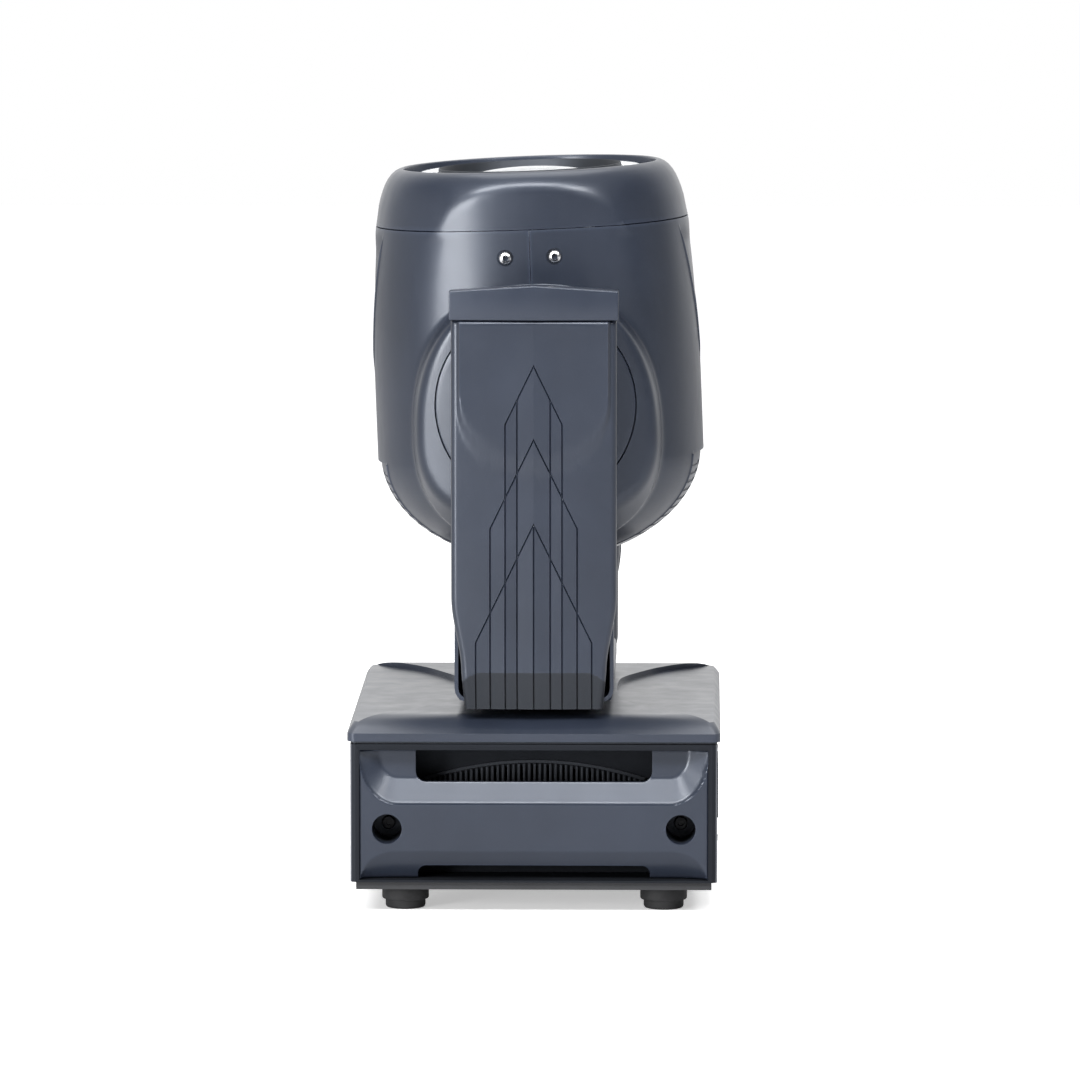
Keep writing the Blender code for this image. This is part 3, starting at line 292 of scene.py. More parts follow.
class Recipe:
    """A material's node tree, with short forms for the nodes that the recipes share."""

    def __init__(self, name):
        self.material = bpy.data.materials.new(name)
        self.material.use_nodes = True
        self.tree = self.material.node_tree
        self.shader = self.tree.nodes["Principled BSDF"]
        self.place = self.add("ShaderNodeTexCoord").outputs["Object"]

    def add(self, kind, **inputs):
        node = self.tree.nodes.new(kind)
        for key, value in inputs.items():
            node.inputs[key.replace("_", " ")].default_value = value
        return node

    def link(self, output, target):
        self.tree.links.new(output, target)

    def noise(self, scale, detail=3.0, stretch=None):
        node = self.add("ShaderNodeTexNoise", Scale=scale, Detail=detail, Roughness=0.55)
        source = self.place
        if stretch:
            mapping = self.add("ShaderNodeMapping")
            mapping.inputs["Scale"].default_value = stretch
            self.link(source, mapping.inputs["Vector"])
            source = mapping.outputs["Vector"]
        self.link(source, node.inputs["Vector"])
        return node.outputs["Fac"]

    def range(self, source, low, high, to_low, to_high):
        node = self.add("ShaderNodeMapRange")
        for key, value in zip(("From Min", "From Max", "To Min", "To Max"), (low, high, to_low, to_high)):
            node.inputs[key].default_value = value
        self.link(source, node.inputs["Value"])
        return node.outputs["Result"]

    def mix(self, factor, a, b):
        node = self.add("ShaderNodeMix")
        node.data_type = "RGBA"
        self.link(factor, node.inputs["Factor"])
        for value, socket in ((a, node.inputs["A"]), (b, node.inputs["B"])):
            if hasattr(value, "is_output"):
                self.link(value, socket)
            else:
                socket.default_value = (*value, 1.0)
        return node.outputs["Result"]

    def colour(self, output):
        self.link(output, self.shader.inputs["Base Color"])

    def roughness(self, source, low, high, least, most):
        self.link(self.range(source, low, high, least, most), self.shader.inputs["Roughness"])

    def set(self, name, value):
        self.shader.inputs[name].default_value = value

    def bump(self, heights, strength, distance):
        node = self.add("ShaderNodeBump", Strength=strength, Distance=distance)
        self.link(heights, node.inputs["Height"])
        self.link(node.outputs["Normal"], self.shader.inputs["Normal"])


def tint(colour, gain):
    """A colour made darker or lighter."""
    return tuple(min(1.0, c * gain) for c in colour)


def moulded_plastic(name, colour, roughness, grain=0.12, wear=0.25, coat=0.0, gloss=0.5):
    """Moulded plastic: spark-eroded grain, faint flow marks, dust and lighter handled edges."""
    recipe = Recipe(name)
    flow = recipe.noise(14.0, 4.0)
    body = recipe.mix(recipe.range(flow, 0.3, 0.7, 0.0, 1.0), tint(colour, 0.86), tint(colour, 1.16))
    speck = recipe.noise(900.0, 2.0)
    body = recipe.mix(recipe.range(speck, 0.62, 0.8, 0.0, 0.35), body, tint(colour, 1.9))
    edge = recipe.add("ShaderNodeNewGeometry").outputs["Pointiness"]
    worn = recipe.range(edge, 0.515, 0.58, 0.0, wear)
    body = recipe.mix(worn, body, tint(colour, 3.2))
    recipe.colour(body)
    smear = recipe.noise(55.0, 5.0, (1.0, 1.0, 0.35))
    recipe.roughness(smear, 0.3, 0.7, roughness - 0.05, roughness + 0.05)
    recipe.set("Specular Tint", (0.8, 0.87, 1.0, 1.0))
    recipe.set("Specular IOR Level", gloss)
    recipe.set("Coat Weight", coat)
    recipe.set("Coat Roughness", 0.22)
    recipe.bump(recipe.noise(2300.0, 2.0), grain, 0.0002)
    return recipe.material


def metal(name, colour, roughness, brushed=(1.0, 1.0, 1.0), metallic=1.0):
    """Metal with fine tool marks and stains."""
    recipe = Recipe(name)
    stain = recipe.noise(40.0, 4.0)
    body = recipe.mix(recipe.range(stain, 0.35, 0.7, 0.0, 1.0), tint(colour, 0.82), colour)
    recipe.colour(body)
    recipe.set("Metallic", metallic)
    marks = recipe.noise(700.0, 3.0, brushed)
    recipe.roughness(marks, 0.3, 0.7, roughness - 0.07, roughness + 0.1)
    recipe.bump(marks, 0.1, 0.0001)
    return recipe.material


def rubber(name):
    """Soft rubber with a dusty bloom."""
    recipe = Recipe(name)
    dust = recipe.noise(120.0, 5.0)
    body = recipe.mix(recipe.range(dust, 0.45, 0.75, 0.0, 0.6), (0.014, 0.014, 0.015), (0.045, 0.045, 0.047))
    recipe.colour(body)
    recipe.roughness(dust, 0.3, 0.7, 0.62, 0.85)
    recipe.bump(recipe.noise(1500.0, 3.0), 0.3, 0.0002)
    return recipe.material


def lens_glass(name):
    """Coated front glass: mostly clear, with faint smears."""
    recipe = Recipe(name)
    smear = recipe.noise(30.0, 4.0)
    body = recipe.mix(smear, (0.72, 0.78, 0.83), (0.86, 0.9, 0.94))
    recipe.colour(body)
    recipe.roughness(smear, 0.35, 0.7, 0.02, 0.07)
    recipe.set("Transmission Weight", 0.85)
    recipe.set("IOR", 1.52)
    recipe.set("Coat Weight", 0.6)
    recipe.bump(recipe.noise(20.0, 1.0), 0.02, 0.0005)
    return recipe.material


def opal(name):
    """White diffuser plastic that glows a little under the studio light."""
    recipe = Recipe(name)
    cloud = recipe.noise(35.0, 3.0)
    body = recipe.mix(cloud, (0.74, 0.76, 0.79), (0.88, 0.89, 0.91))
    recipe.colour(body)
    recipe.roughness(cloud, 0.3, 0.7, 0.2, 0.32)
    recipe.set("Coat Weight", 0.5)
    recipe.bump(recipe.noise(1200.0, 2.0), 0.05, 0.0001)
    return recipe.material


def circuit_board(name):
    """Solder mask with fine copper tracks under it."""
    recipe = Recipe(name)
    tracks = recipe.noise(420.0, 1.0, (1.0, 0.25, 1.0))
    body = recipe.mix(recipe.range(tracks, 0.48, 0.52, 0.0, 1.0), (0.012, 0.07, 0.03), (0.03, 0.16, 0.07))
    recipe.colour(body)
    recipe.roughness(tracks, 0.4, 0.6, 0.3, 0.5)
    recipe.bump(tracks, 0.15, 0.0001)
    return recipe.material


def screen_glass(name):
    """Dark window with faint rows of unlit cells behind it."""
    recipe = Recipe(name)
    cells = recipe.add("ShaderNodeTexWave", Scale=320.0, Distortion=0.0)
    cells.bands_direction = "Z"
    recipe.link(recipe.place, cells.inputs["Vector"])
    smear = recipe.noise(70.0, 4.0)
    rows = recipe.range(cells.outputs["Fac"], 0.3, 0.9, 0.0, 1.0)
    body = recipe.mix(rows, (0.006, 0.008, 0.012), (0.014, 0.02, 0.03))
    recipe.colour(body)
    recipe.roughness(smear, 0.3, 0.7, 0.06, 0.16)
    recipe.bump(smear, 0.02, 0.0002)
    return recipe.material


HOUSING = (0.014, 0.0178, 0.028)
BLACK = (0.011, 0.012, 0.014)
# Near-black trim, darker than BLACK: black plastic with painted shade, for the base shell's end frames and recess
# walls
TRIM_AND_SHADE = (0.005, 0.0056, 0.0072)
MATERIALS = {
    "housing": moulded_plastic("housing_plastic", HOUSING, 0.36, coat=0.3),
    "lid": moulded_plastic("lid_plastic", HOUSING, 0.33, grain=0.06, coat=0.4),
    "dark_plastic": moulded_plastic("dark_plastic", BLACK, 0.5, grain=0.2, wear=0.15),
    "trim_and_shade": moulded_plastic("black_trim_and_shade", TRIM_AND_SHADE, 0.55, grain=0.2, wear=0.15, gloss=0.22),
    "steel": metal("black_coated_steel", (0.03, 0.031, 0.034), 0.5, metallic=0.3),
    "screw": metal("zinc_screw", (0.78, 0.78, 0.79), 0.24, (1.0, 1.0, 4.0)),
    "rubber": rubber("foot_rubber"),
    "glass": lens_glass("lens_glass"),
    "halo": opal("opal_diffuser"),
    "aluminium": metal("machined_aluminium", (0.62, 0.63, 0.64), 0.35, (1.0, 1.0, 6.0)),
    "board": circuit_board("circuit_board"),
    "screen": screen_glass("screen_window"),
}


# Head, with heights from the tilt axis along the light's axis

# Body: radius at its widest and at the seam, and the bowl that closes it
HEAD_RADIUS = 97.7
SEAM_RADIUS = 93.4
BOWL_TOP = -35.0
BOWL_DEPTH = 67.0
SEAM = 103.0
# Wide facets that face the arms, and the pods raised on them round the hubs
FACET_CURVE = 260.0
FACET_FOOT = -46.0
POD_TOP = 98.0
POD_CROWN = 380.0
POD_HALF_X = 67.5
POD_UP = 88.0
POD_DOWN = 45.0
POD_CENTRE = -20.0
POD_SPREAD = 0.22
POD_FOOT_SPREAD = 0.9
POD_DEEPEST = 26.0
POD_SQUARE = 2.3
HUB_HOLE_RADIUS = 59.6
# Inset panels on the head's left and right, and the slotted bands below them
VENT_HALF = 36.0
VENT_TOP = -37.0
VENT_SPINE = 0.16
VENT_DEPTH = 0.8
PANEL_POINT = 13.0
PANEL_TOP = 101.0
PANEL_FADE = 86.0
WALL = 2.4
VENT_SLOTS = [-44.5 - 5.0 * i for i in range(9)]
VENT_RELIEF = 4.4
# Hub discs and screws
HUB_DISC_RADIUS = HUB_HOLE_RADIUS - 0.5
HUB_FLOOR = 85.0
HUB_BACK = 85.8
SCREW_X = 14.5
SCREW_Z = 87.0
SCREW_FLOOR = 84.9
SCREW_RECESS = 5.0
SCREW_HEAD = 3.8
BEYOND = 120.0


def head_radius(z):
    """Radius of the head's body at a height, from the seam down to the bowl."""
    if z >= BOWL_TOP:
        rise = (z - BOWL_TOP) / (SEAM - BOWL_TOP)
        return HEAD_RADIUS - (HEAD_RADIUS - SEAM_RADIUS) * rise**4
    drop = min(1.0, (BOWL_TOP - z) / BOWL_DEPTH)
    return HEAD_RADIUS * math.sqrt(max(0.0, 1.0 - drop * drop))


def crown_reach(turn, middle, curve):
    """Reach of the crowned surface y = middle - x * x / curve, in a direction from the axis."""
    rise = np.maximum(np.abs(np.sin(turn)), 1e-4)
    bend = np.maximum((np.cos(turn) / rise) ** 2 / curve, 1e-7)
    return (np.sqrt(1.0 + 4.0 * bend * middle) - 1.0) / (2.0 * bend * rise)


def facet_reach(turn, z):
    """How far out the wide crowned facet lies that faces each arm, in a direction from the axis."""
    middle = 88.0 - 0.0115 * z - 0.3 * np.maximum(0.0, FACET_FOOT - z)
    return crown_reach(turn, middle, FACET_CURVE)


def pod_reach(turn, z):
    """How far out the raised pod round the hub reaches, in a direction from the axis."""
    side, rise = np.abs(np.cos(turn)), np.abs(np.sin(turn))
    height = np.abs(z - POD_CENTRE)
    half_z = np.where(z > POD_CENTRE, POD_UP, POD_DOWN)
    spread_z = np.where(z > POD_CENTRE, POD_SPREAD, POD_FOOT_SPREAD)
    near, far = np.zeros(turn.shape), np.full(turn.shape, 150.0)
    for _ in range(26):
        r = (near + far) / 2
        drop = np.clip(POD_TOP - r * rise, -POD_DEEPEST, POD_DEEPEST)
        share = (r * side / (POD_HALF_X + POD_SPREAD * drop)) ** POD_SQUARE
        share += (height / (half_z + spread_z * drop)) ** POD_SQUARE
        near, far = np.where(share <= 1.0, r, near), np.where(share <= 1.0, far, r)
    return soft_min(crown_reach(turn, POD_TOP, POD_CROWN), near, 5.0)


def head_reach(turn, radius, z, pod=True):
    """Radius of the head's skin in a direction, for a body that would be round with a given radius."""
    sharp = np.clip((z - 96.0) / 7.0, 0.0, 1.0)
    reach = soft_min(radius, facet_reach(turn, z), 3.0 - 2.6 * sharp)
    if pod:
        reach = -soft_min(-reach, -pod_reach(turn, z), 3.2)
    return reach


def panel_edge(z):
    """Half angle of the inset panels on the head's left and right, in degrees."""
    if z >= PANEL_POINT:
        return 1.5 + 20.0 * min(1.0, (z - PANEL_POINT) / (PANEL_TOP - PANEL_POINT))
    band = math.degrees(math.asin(min(0.97, VENT_HALF / max(head_radius(z), 1.0))))
    if z <= VENT_TOP:
        return band
    return 1.5 + (band - 1.5) * (PANEL_POINT - z) / (PANEL_POINT - VENT_TOP)


def panel_depth(z, share):
    """Depth of the upper inset panel and of the vent band, at a share of the half width."""
    inside = 1.0 - smooth_step(share, 0.93, 0.98)
    bead = smooth_step(share, 0.93, 0.98) * (1.0 - smooth_step(share, 0.98, 1.0))
    depth, lip = 0.0, 0.0
    if z > PANEL_POINT:
        lip = smooth_step(z, PANEL_POINT, PANEL_POINT + 16.0) * (1.0 - smooth_step(z, PANEL_FADE, PANEL_TOP))
        depth = (1.0 + 0.6 * share) * lip
    if z < VENT_TOP:
        lip = smooth_step(VENT_TOP - z, 0.0, 0.8)
        depth = 1.8 * lip
        if VENT_SPINE < share < 0.86:
            for slot in VENT_SLOTS:
                depth += VENT_DEPTH * (1.0 - smooth_step(abs(z - slot), 0.9, 1.25))
    return depth * inside - 0.7 * lip * bead


def head_heights():
    """Heights of the rows: closer at the pods' ends, and one on each edge of a step or a slot."""
    fine = set(np.arange(78.0, 52.0, -0.6)) | set(np.arange(-58.0, -92.0, -0.9))
    heights = fine | {h for h in np.arange(103.0, -100.0, -1.75) if all(abs(h - f) > 0.5 for f in fine)}
    heights |= {VENT_TOP, VENT_TOP - 0.4, VENT_TOP - 0.8}
    heights |= {FACET_FOOT + 0.8, FACET_FOOT, FACET_FOOT - 0.8, -99.5, -100.6, -101.4, -101.9, -102.0}
    for slot in VENT_SLOTS:
        heights = {h for h in heights if abs(h - slot) > 1.6}
        heights |= {slot + d for d in (-1.25, -0.9, 0.9, 1.25)}
    return sorted(heights, reverse=True)


def shell_rows(side, wall=0.0):
    """Rows of points round one half of the head, on its skin or a wall's thickness inside it."""
    inner = [0.0, 0.08, 0.15, 0.17, 0.3, 0.45, 0.6, 0.75, 0.84, 0.87, 0.9]
    inner += [0.93, 0.945, 0.96, 0.98, 0.99, 1.0]
    outer = [0.01, 0.03] + list(np.linspace(0.06, 1.0, 64))
    rows = []
    for z in head_heights():
        edge = panel_edge(z)
        angles = [share * edge for share in inner] + [edge + (90.0 - edge) * share for share in outer]
        turn = np.radians(np.array(angles))
        reach = head_reach(turn, head_radius(z), np.full(turn.shape, z))
        if wall:
            vents = VENT_RELIEF * smooth_step(VENT_TOP + 6.0 - z, 0.0, 6.0)
            inset = [wall + vents] * len(inner)
            inset += [wall + vents * (1.0 - smooth_step(share, 0.0, 0.08)) for share in outer]
        else:
            inset = [panel_depth(z, share) for share in inner] + [0.0] * len(outer)
        reach = np.maximum(0.0, reach - np.array(inset))
        x, y = np.maximum(reach * np.cos(turn), 0.15), reach * np.sin(turn)
        height = z if z > BOWL_TOP else BOWL_TOP + (z - BOWL_TOP) * (BOWL_DEPTH - wall) / BOWL_DEPTH
        quarter = list(zip(x, y))
        row = [(side * px, -py, height) for px, py in quarter[1:][::-1]]
        row += [(side * px, py, height) for px, py in quarter]
        rows.append(row)
    return rows


def shell_solid(name, outside, inside):
    """A closed wall between two grids of the same layout that meet in one point at the bottom."""
    rows, columns = len(outside), len(outside[0])
    total = rows * columns
    points = [p for row in outside for p in row] + [p for row in inside for p in row]
    faces = lattice_faces(rows, columns)
    faces += [tuple(reversed(face)) for face in lattice_faces(rows, columns, start=total)]
    for c in range(columns - 1):
        faces.append((c + 1, c, total + c, total + c + 1))
    for r in range(rows - 1):
        a, b = r * columns, (r + 1) * columns
        faces.append((a, b, total + b, total + a))
        a, b = a + columns - 1, b + columns - 1
        faces.append((b, a, total + a, total + b))
    return mesh_object(name, points, faces)


def build_head_shells():
    """The two half shells, with hub seam, hub hole, screw recesses, inset panels and vents."""
    for side_name, side in SIDES.items():
        shell = shell_solid("half_shell_" + side_name, shell_rows(side), shell_rows(side, WALL))
        tools = []
        for end_name, end in ENDS.items():
            near, far = sorted((end * HUB_FLOOR, end * BEYOND))
            tools.append(disc("hub_hole_" + end_name, (0.0, 0.0), HUB_HOLE_RADIUS, near, far, "Y", 128))
            near, far = sorted((end * SCREW_FLOOR, end * BEYOND))
            centre = (side * SCREW_X, SCREW_Z)
            tools.append(disc("screw_recess_" + end_name, centre, SCREW_RECESS, near, far, "Y"))
        for tool in tools:
            carve(shell, tool, angle=55.0)
        shell.data.transform(HEAD_PLACE)
        place_piece(shell, "head", "housing", "head_shell_" + side_name)


def build_hub_discs():
    """The round plates that lie flush in the head's pods, each with its shaft into the arm."""
    radii = [0.05, 6.0, 14.0, 22.0, 30.0, 38.0, 46.0, 52.0, 56.0, 58.0, 58.6, HUB_DISC_RADIUS]
    profile = [(radius, POD_TOP - rounding(HUB_DISC_RADIUS - radius, 0.9)) for radius in radii]
    profile += [(HUB_DISC_RADIUS, HUB_BACK), (0.05, HUB_BACK)]

    def crown(index, turn, radius, height):
        """Let the outer face fall away to both sides as the pod does."""
        drop = (radius * math.cos(turn)) ** 2 / POD_CROWN if index < len(radii) else 0.0
        return radius, height - drop

    backing_profile = [(57.0, 83.2), (62.5, 83.2), (62.5, 84.8), (57.0, 84.8)]
    shaft_profile = [(4.0, 96.0), (10.0, 96.0), (10.0, 125.4), (9.4, 126.0), (4.0, 126.0)]
    for end_name, end in ENDS.items():
        upright = HEAD_PLACE @ facing(end)
        disc_piece = revolve("hub_disc_" + end_name, profile, 128, upright, crown)
        place_piece(disc_piece, "head", "housing", "trunnion_" + end_name)
        backing = revolve("hub_backing_" + end_name, backing_profile, 96, upright)
        place_piece(backing, "head", "dark_plastic")
        shaft = revolve("hub_shaft_" + end_name, shaft_profile, 64, upright)
        place_piece(shaft, "head", "steel")


def build_bezel():
    """The front bezel above the seam, with its rolled rim and sides that follow the head's facets."""
    outside = [(92.9, SEAM + 0.45), (93.2, SEAM + 0.8), (92.7, 106.5), (92.1, 110.0), (91.3, 115.0)]
    outside += [(90.1, 119.5), (88.6, 124.0), (87.0, 127.8), (85.2, 130.9), (83.0, 133.6), (80.8, 135.4)]
    outside += [(78.6, 136.5), (77.2, 136.9), (76.3, 136.8), (75.7, 136.3), (75.5, 135.5)]
    inside = [(75.5, 121.2), (86.0, 121.0), (88.2, 115.5), (90.0, 108.0), (90.4, SEAM + 0.45)]
    widest = 93.3

    def follow_facets(index, turn, radius, height):
        """Draw a point in to the head's skin, or to a wall's thickness inside it."""
        outer = index < len(outside)
        skin = head_reach(np.array([turn]), radius if outer else widest, height, pod=False)
        reach = float(skin[0])
        return (reach if outer else min(radius, reach - WALL)), height

    bezel = revolve("bezel", outside + inside, 240, HEAD_PLACE, follow_facets)
    place_piece(bezel, "head", "housing", "front_bezel")


def build_front_glass():
    """Halo ring, lens cone with its knurled step, and the crowned lens."""
    low, high = 121.2, 134.6
    rim = ellipse_arc((60.75, high - 1.2), (5.6, 1.2), 0, 180, 14)
    halo = revolve("halo", [(66.3, low), *rim, (55.2, low)], 160, HEAD_PLACE)
    place_piece(halo, "head", "halo", "halo_ring")
    steps = []
    for i in range(6):
        steps += [(54.0 - 0.5 * i, 135.6 - 2.3 * i), (53.7 - 0.5 * i, 133.6 - 2.3 * i)]
    cone = [(54.7, 120.9), (54.7, 135.8), (54.3, 136.0)] + steps
    cone += [(51.9, 121.3), (49.2, 121.2), (49.2, 117.9), (84.6, 117.9), (84.6, 120.9)]
    retainer = revolve("lens_cone", cone, 128, HEAD_PLACE)
    place_piece(retainer, "head", "dark_plastic", "lens_retainer")
    radius, edge, rise = 50.6, 123.4, 11.8
    turns = [math.pi / 2 * i / 16 for i in range(17)]
    dome = [(max(0.01, radius * math.sin(t)), edge + rise * math.cos(t)) for t in turns]
    flat = [(radius, 121.6), (0.01, 121.6)]
    lens = revolve("lens", dome + flat, 96, HEAD_PLACE)
    place_piece(lens, "head", "glass", "front_lens")


def build_head_screws():
    """Button-head screws with a hexagon socket, in the order of the CAD's screws."""
    seat = SCREW_FLOOR + 0.15
    dome = [(SCREW_HEAD, seat), (SCREW_HEAD, seat + 0.5)]
    dome += ellipse_arc((0.0, seat + 0.5), (SCREW_HEAD, 1.9), 8, 82, 7)
    foot = seat - 11.0
    profile = [(2.0, foot), (2.0, seat), *dome, (0.05, seat + 2.35), (0.05, foot)]
    corners = [(end, side) for end in ENDS.values() for side in SIDES.values()]
    for index, (end, side) in enumerate(corners, 1):
        screw = revolve("button_screw_" + str(index), profile, 40)
        carve(screw, prism("socket", circle((0, 0), 2.0, 6), seat - 0.4, seat + 4.0, "Z"))
        screw.data.transform(HEAD_PLACE @ shift(side * SCREW_X, 0.0, SCREW_Z) @ facing(end))
        place_piece(screw, "head", "screw", "head_screw_" + str(index))


# Yoke arms

# Outer panel: its top edge, and the bend above its sloping foot
ARM_TOP = 348.0
ARM_BEND = 142.0
# Grooves by distance from the middle; arrows by the height of their point and their reach
GROOVES = [9.7, 16.6, 25.4, 33.9]
ARROWS = [(321.7, 16.6), (278.6, 25.4), (229.0, 33.9)]
GROOVE_START = [ARROWS[0][0], ARROWS[0][0], ARROWS[1][0], ARROWS[2][0]]
GROOVE_HALF = 0.5
GROOVE_DEPTH = 1.0
ARROW_SLOPE = 2.05
SHEAR_REACH = 34.4
# Width of the arm, and the shield raised on its upper half
ARM_FOOT = 119.8
ARM_FULL_WIDTH_Z = 186.0
ARM_HALF_WIDTHS = (40.4, 42.4, 48.3)
ARM_CROWN = 800.0
SHIELD_HALF = 44.0
SHIELD_SHOULDER = 300.0
SHIELD_DROP = 37.0
# Cap and inner cover
CAP_HALF = 49.3
CAP_PROUD = 1.4
CAP_SIDE_SET = 0.6
CAP_SIDE_DROP = 3.2
CAP_GAP = 0.5
INNER_FACE_Y = 105.0
INNER_SPLIT_Y = 131.8
INNER_FILLET = 9.0
INNER_CORNER = 8.0
INNER_LOW = 123.2
INNER_LEAST_HALF = 47.2
INNER_HIGH = 364.0
INNER_WALL = 2.2
SHAFT_HOLE = 12.0


def arm_shear(t):
    """How steeply a row of the panel runs down from the middle."""
    first, last = ARROWS[0][0] + 2.0, ARROWS[-1][0] - 2.0
    if t > first:
        return ARROW_SLOPE * (ARM_TOP - t) / (ARM_TOP - first)
    if t < last:
        return ARROW_SLOPE * max(0.0, (t - ARM_BEND) / (last - ARM_BEND))
    return ARROW_SLOPE


def arm_half_width(z):
    """Half width of an arm: nearly even in the foot, then spreading softly to its full width."""
    foot, bend, full = ARM_HALF_WIDTHS
    low = float(np.interp(z, [ARM_FOOT, ARM_BEND], [foot, bend]))
    return low + (full - bend) * smooth_step(z, ARM_BEND, ARM_FULL_WIDTH_Z)


def shield_inside(x, z):
    """Distance inside the upper panel's shield, in millimetres; negative outside it."""
    if z >= SHIELD_SHOULDER:
        return SHIELD_HALF - x
    reach = math.hypot(x / SHIELD_HALF, (SHIELD_SHOULDER - z) / SHIELD_DROP)
    return (1.0 - reach) * SHIELD_DROP


def arm_columns():
    """Places across the panel: grooves get three columns each, with two plain ones between."""
    right = [0.0, GROOVE_HALF]
    last = GROOVE_HALF
    for groove in GROOVES:
        span = groove - GROOVE_HALF - last
        right += [last + span * share for share in (0.25, 0.5, 0.75)]
        right += [groove - GROOVE_HALF, groove, groove + GROOVE_HALF]
        last = groove + GROOVE_HALF
    return right


def arm_rows(low):
    """Heights of the panel's rows at its middle: closer at the bend, the arrows and the top edge."""
    rows = list(np.linspace(low, ARM_BEND - 10.0, 8))
    rows += list(np.linspace(ARM_BEND - 8.5, ARM_BEND + 2.0, 12))
    rows += list(np.linspace(ARM_BEND + 3.0, ARM_TOP - 2.5, 165))
    for apex, _ in ARROWS:
        rows = [t for t in rows if abs(t - apex) > 2.1]
        rows += [apex - 2.0 * GROOVE_HALF, apex, apex + 2.0 * GROOVE_HALF]
    return sorted(rows + [ARM_TOP - d for d in (1.9, 1.4, 0.95, 0.55, 0.25, 0.08, 0.0)])


def pleat(x):
    """Shallow folds between the grooves."""
    return float(np.interp(x, [0.0, 9.7, 16.6, 25.4, 33.9], [0.0, 0.55, 0.15, 0.6, 0.1]))


def arm_depth(x, t, z, half):
    """Depth of the panel below its highest plane."""
    x = abs(x)
    soft = 0.8 + 3.2 * smooth_step(SHIELD_SHOULDER - z, 8.0, 34.0)
    shield = smooth_step(shield_inside(x, z), -soft, soft)
    depth = shield * 0.018 * x + (1.0 - shield) * (1.0 + x * x / ARM_CROWN)
    for apex, shoulder in ARROWS:
        if t < apex and x <= shoulder + 0.1:
            depth += 0.5 * pleat(x) - 0.1
    depth += rounding(half - x, 3.4) + rounding(ARM_TOP - z, 1.8)
    return depth + 0.3 * max(0.0, arm_bend(x) - z)


def arm_bend(x):
    """Height below which the arm's foot slopes in; it drops towards the sides."""
    return ARM_BEND - 6.0 * max(0.0, (x - 30.0) / 12.0) ** 2


def arm_groove(x, t):
    """Whether a point of the grid lies on a groove's centre line."""
    x = abs(x)
    for apex, shoulder in ARROWS:
        if abs(t - apex) < 0.01 and x <= shoulder + 0.01:
            return True
    if x < 0.01:
        return t < ARROWS[0][0] and t < ARROWS[-1][0]
    for groove, start in zip(GROOVES, GROOVE_START):
        if abs(x - groove) < 0.01 and t <= start:
            return True
    return False


def arm_panel_row(t, face, end):
    """One row of the outer panel's points, running down from the middle along the arrows' slope."""
    edge_shares = list(np.linspace(0.07, 0.7, 10)) + [0.75, 0.79, 0.83, 0.87, 0.91, 0.945, 0.97, 0.99, 1.0]
    inner, shear = arm_columns(), arm_shear(t)
    line = [(x, t - shear * min(x, SHEAR_REACH)) for x in inner]
    z_out = t - shear * SHEAR_REACH
    half = arm_half_width(z_out)
    line += [(inner[-1] + (half - inner[-1]) * share, z_out) for share in edge_shares]
    row = []
    for x, z in [(-x, z) for x, z in line[:0:-1]] + line:
        depth = arm_depth(x, t, z, half) + (GROOVE_DEPTH if arm_groove(x, t) else 0.0)
        row.append((x, end * (face - depth), z))
    return row


def build_arm_panel(end_name, end):
    """The outer panel of an arm, with its shield, arrows and grooves, and its sloping foot in dark plastic as
    painted shade.
    """
    low, high = box_mm("arm_outer_cover_" + end_name)
    face = max(abs(low[1]), abs(high[1])) - CAP_PROUD
    back = min(abs(low[1]), abs(high[1]))
    grid = [arm_panel_row(t, face, end) for t in arm_rows(low[2])]
    panel = slab("arm_panel_" + end_name, grid, lambda p: (p[0], end * back, p[2]), angle=50.0)
    place_piece(panel, "yoke", "housing", "arm_outer_cover_" + end_name)
    # Painted shade: faces below the bend get the dark plastic, for the shade on the foot's down-facing slope
    panel.data.materials.append(MATERIALS["dark_plastic"])
    for polygon in panel.data.polygons:
        if polygon.center.z / MM < arm_bend(abs(polygon.center.x) / MM):
            polygon.material_index = 1


def build_arm_cap(end_name, end):
    """The cap above the panel, which rises to a ridge in its middle."""
    low, high = box_mm("arm_outer_cover_" + end_name)
    face = max(abs(low[1]), abs(high[1])) - CAP_PROUD
    rear = end * min(abs(low[1]), abs(high[1]))
    ridge, shoulder = end * (face + CAP_PROUD), end * (face - CAP_SIDE_SET)
    peak, side_top, foot = high[2], high[2] - CAP_SIDE_DROP, ARM_TOP + CAP_GAP
    outline = [(-CAP_HALF, foot), (0.0, foot), (CAP_HALF, foot)]
    outline += [(CAP_HALF, side_top), (0.0, peak), (-CAP_HALF, side_top)]
    points = [(x, ridge if x == 0.0 else shoulder, z) for x, z in outline]
    points += [(x, rear, z) for x, z in outline]
    faces = [(0, 1, 4, 5), (1, 2, 3, 4), (6, 7, 10, 11), (7, 8, 9, 10)]
    faces += [(i, (i + 1) % 6, 6 + (i + 1) % 6, 6 + i) for i in range(6)]
    cap = bake(add_bevel(mesh_object("arm_cap_" + end_name, points, faces, angle=10.0), 0.8, 4, 40.0))
    place_piece(cap, "yoke", "housing")


def arm_outline(inset):
    """Outline of an inner arm cover seen along Y, drawn in by an inset."""
    shares = [0.0, 0.004, 0.012, 0.022, 0.035] + list(np.linspace(0.05, 0.95, 24))
    shares += [0.965, 0.978, 0.988, 0.996, 1.0]
    low, high = INNER_LOW + inset, INNER_HIGH - inset
    right = []
    for share in shares:
        z = low + (high - low) * share
        corner = rounding(min(z - low, high - z), INNER_CORNER)
        right.append((max(arm_half_width(z), INNER_LEAST_HALF) - 0.6 - inset - corner, z))
    return right + [(-x, z) for x, z in reversed(right)]


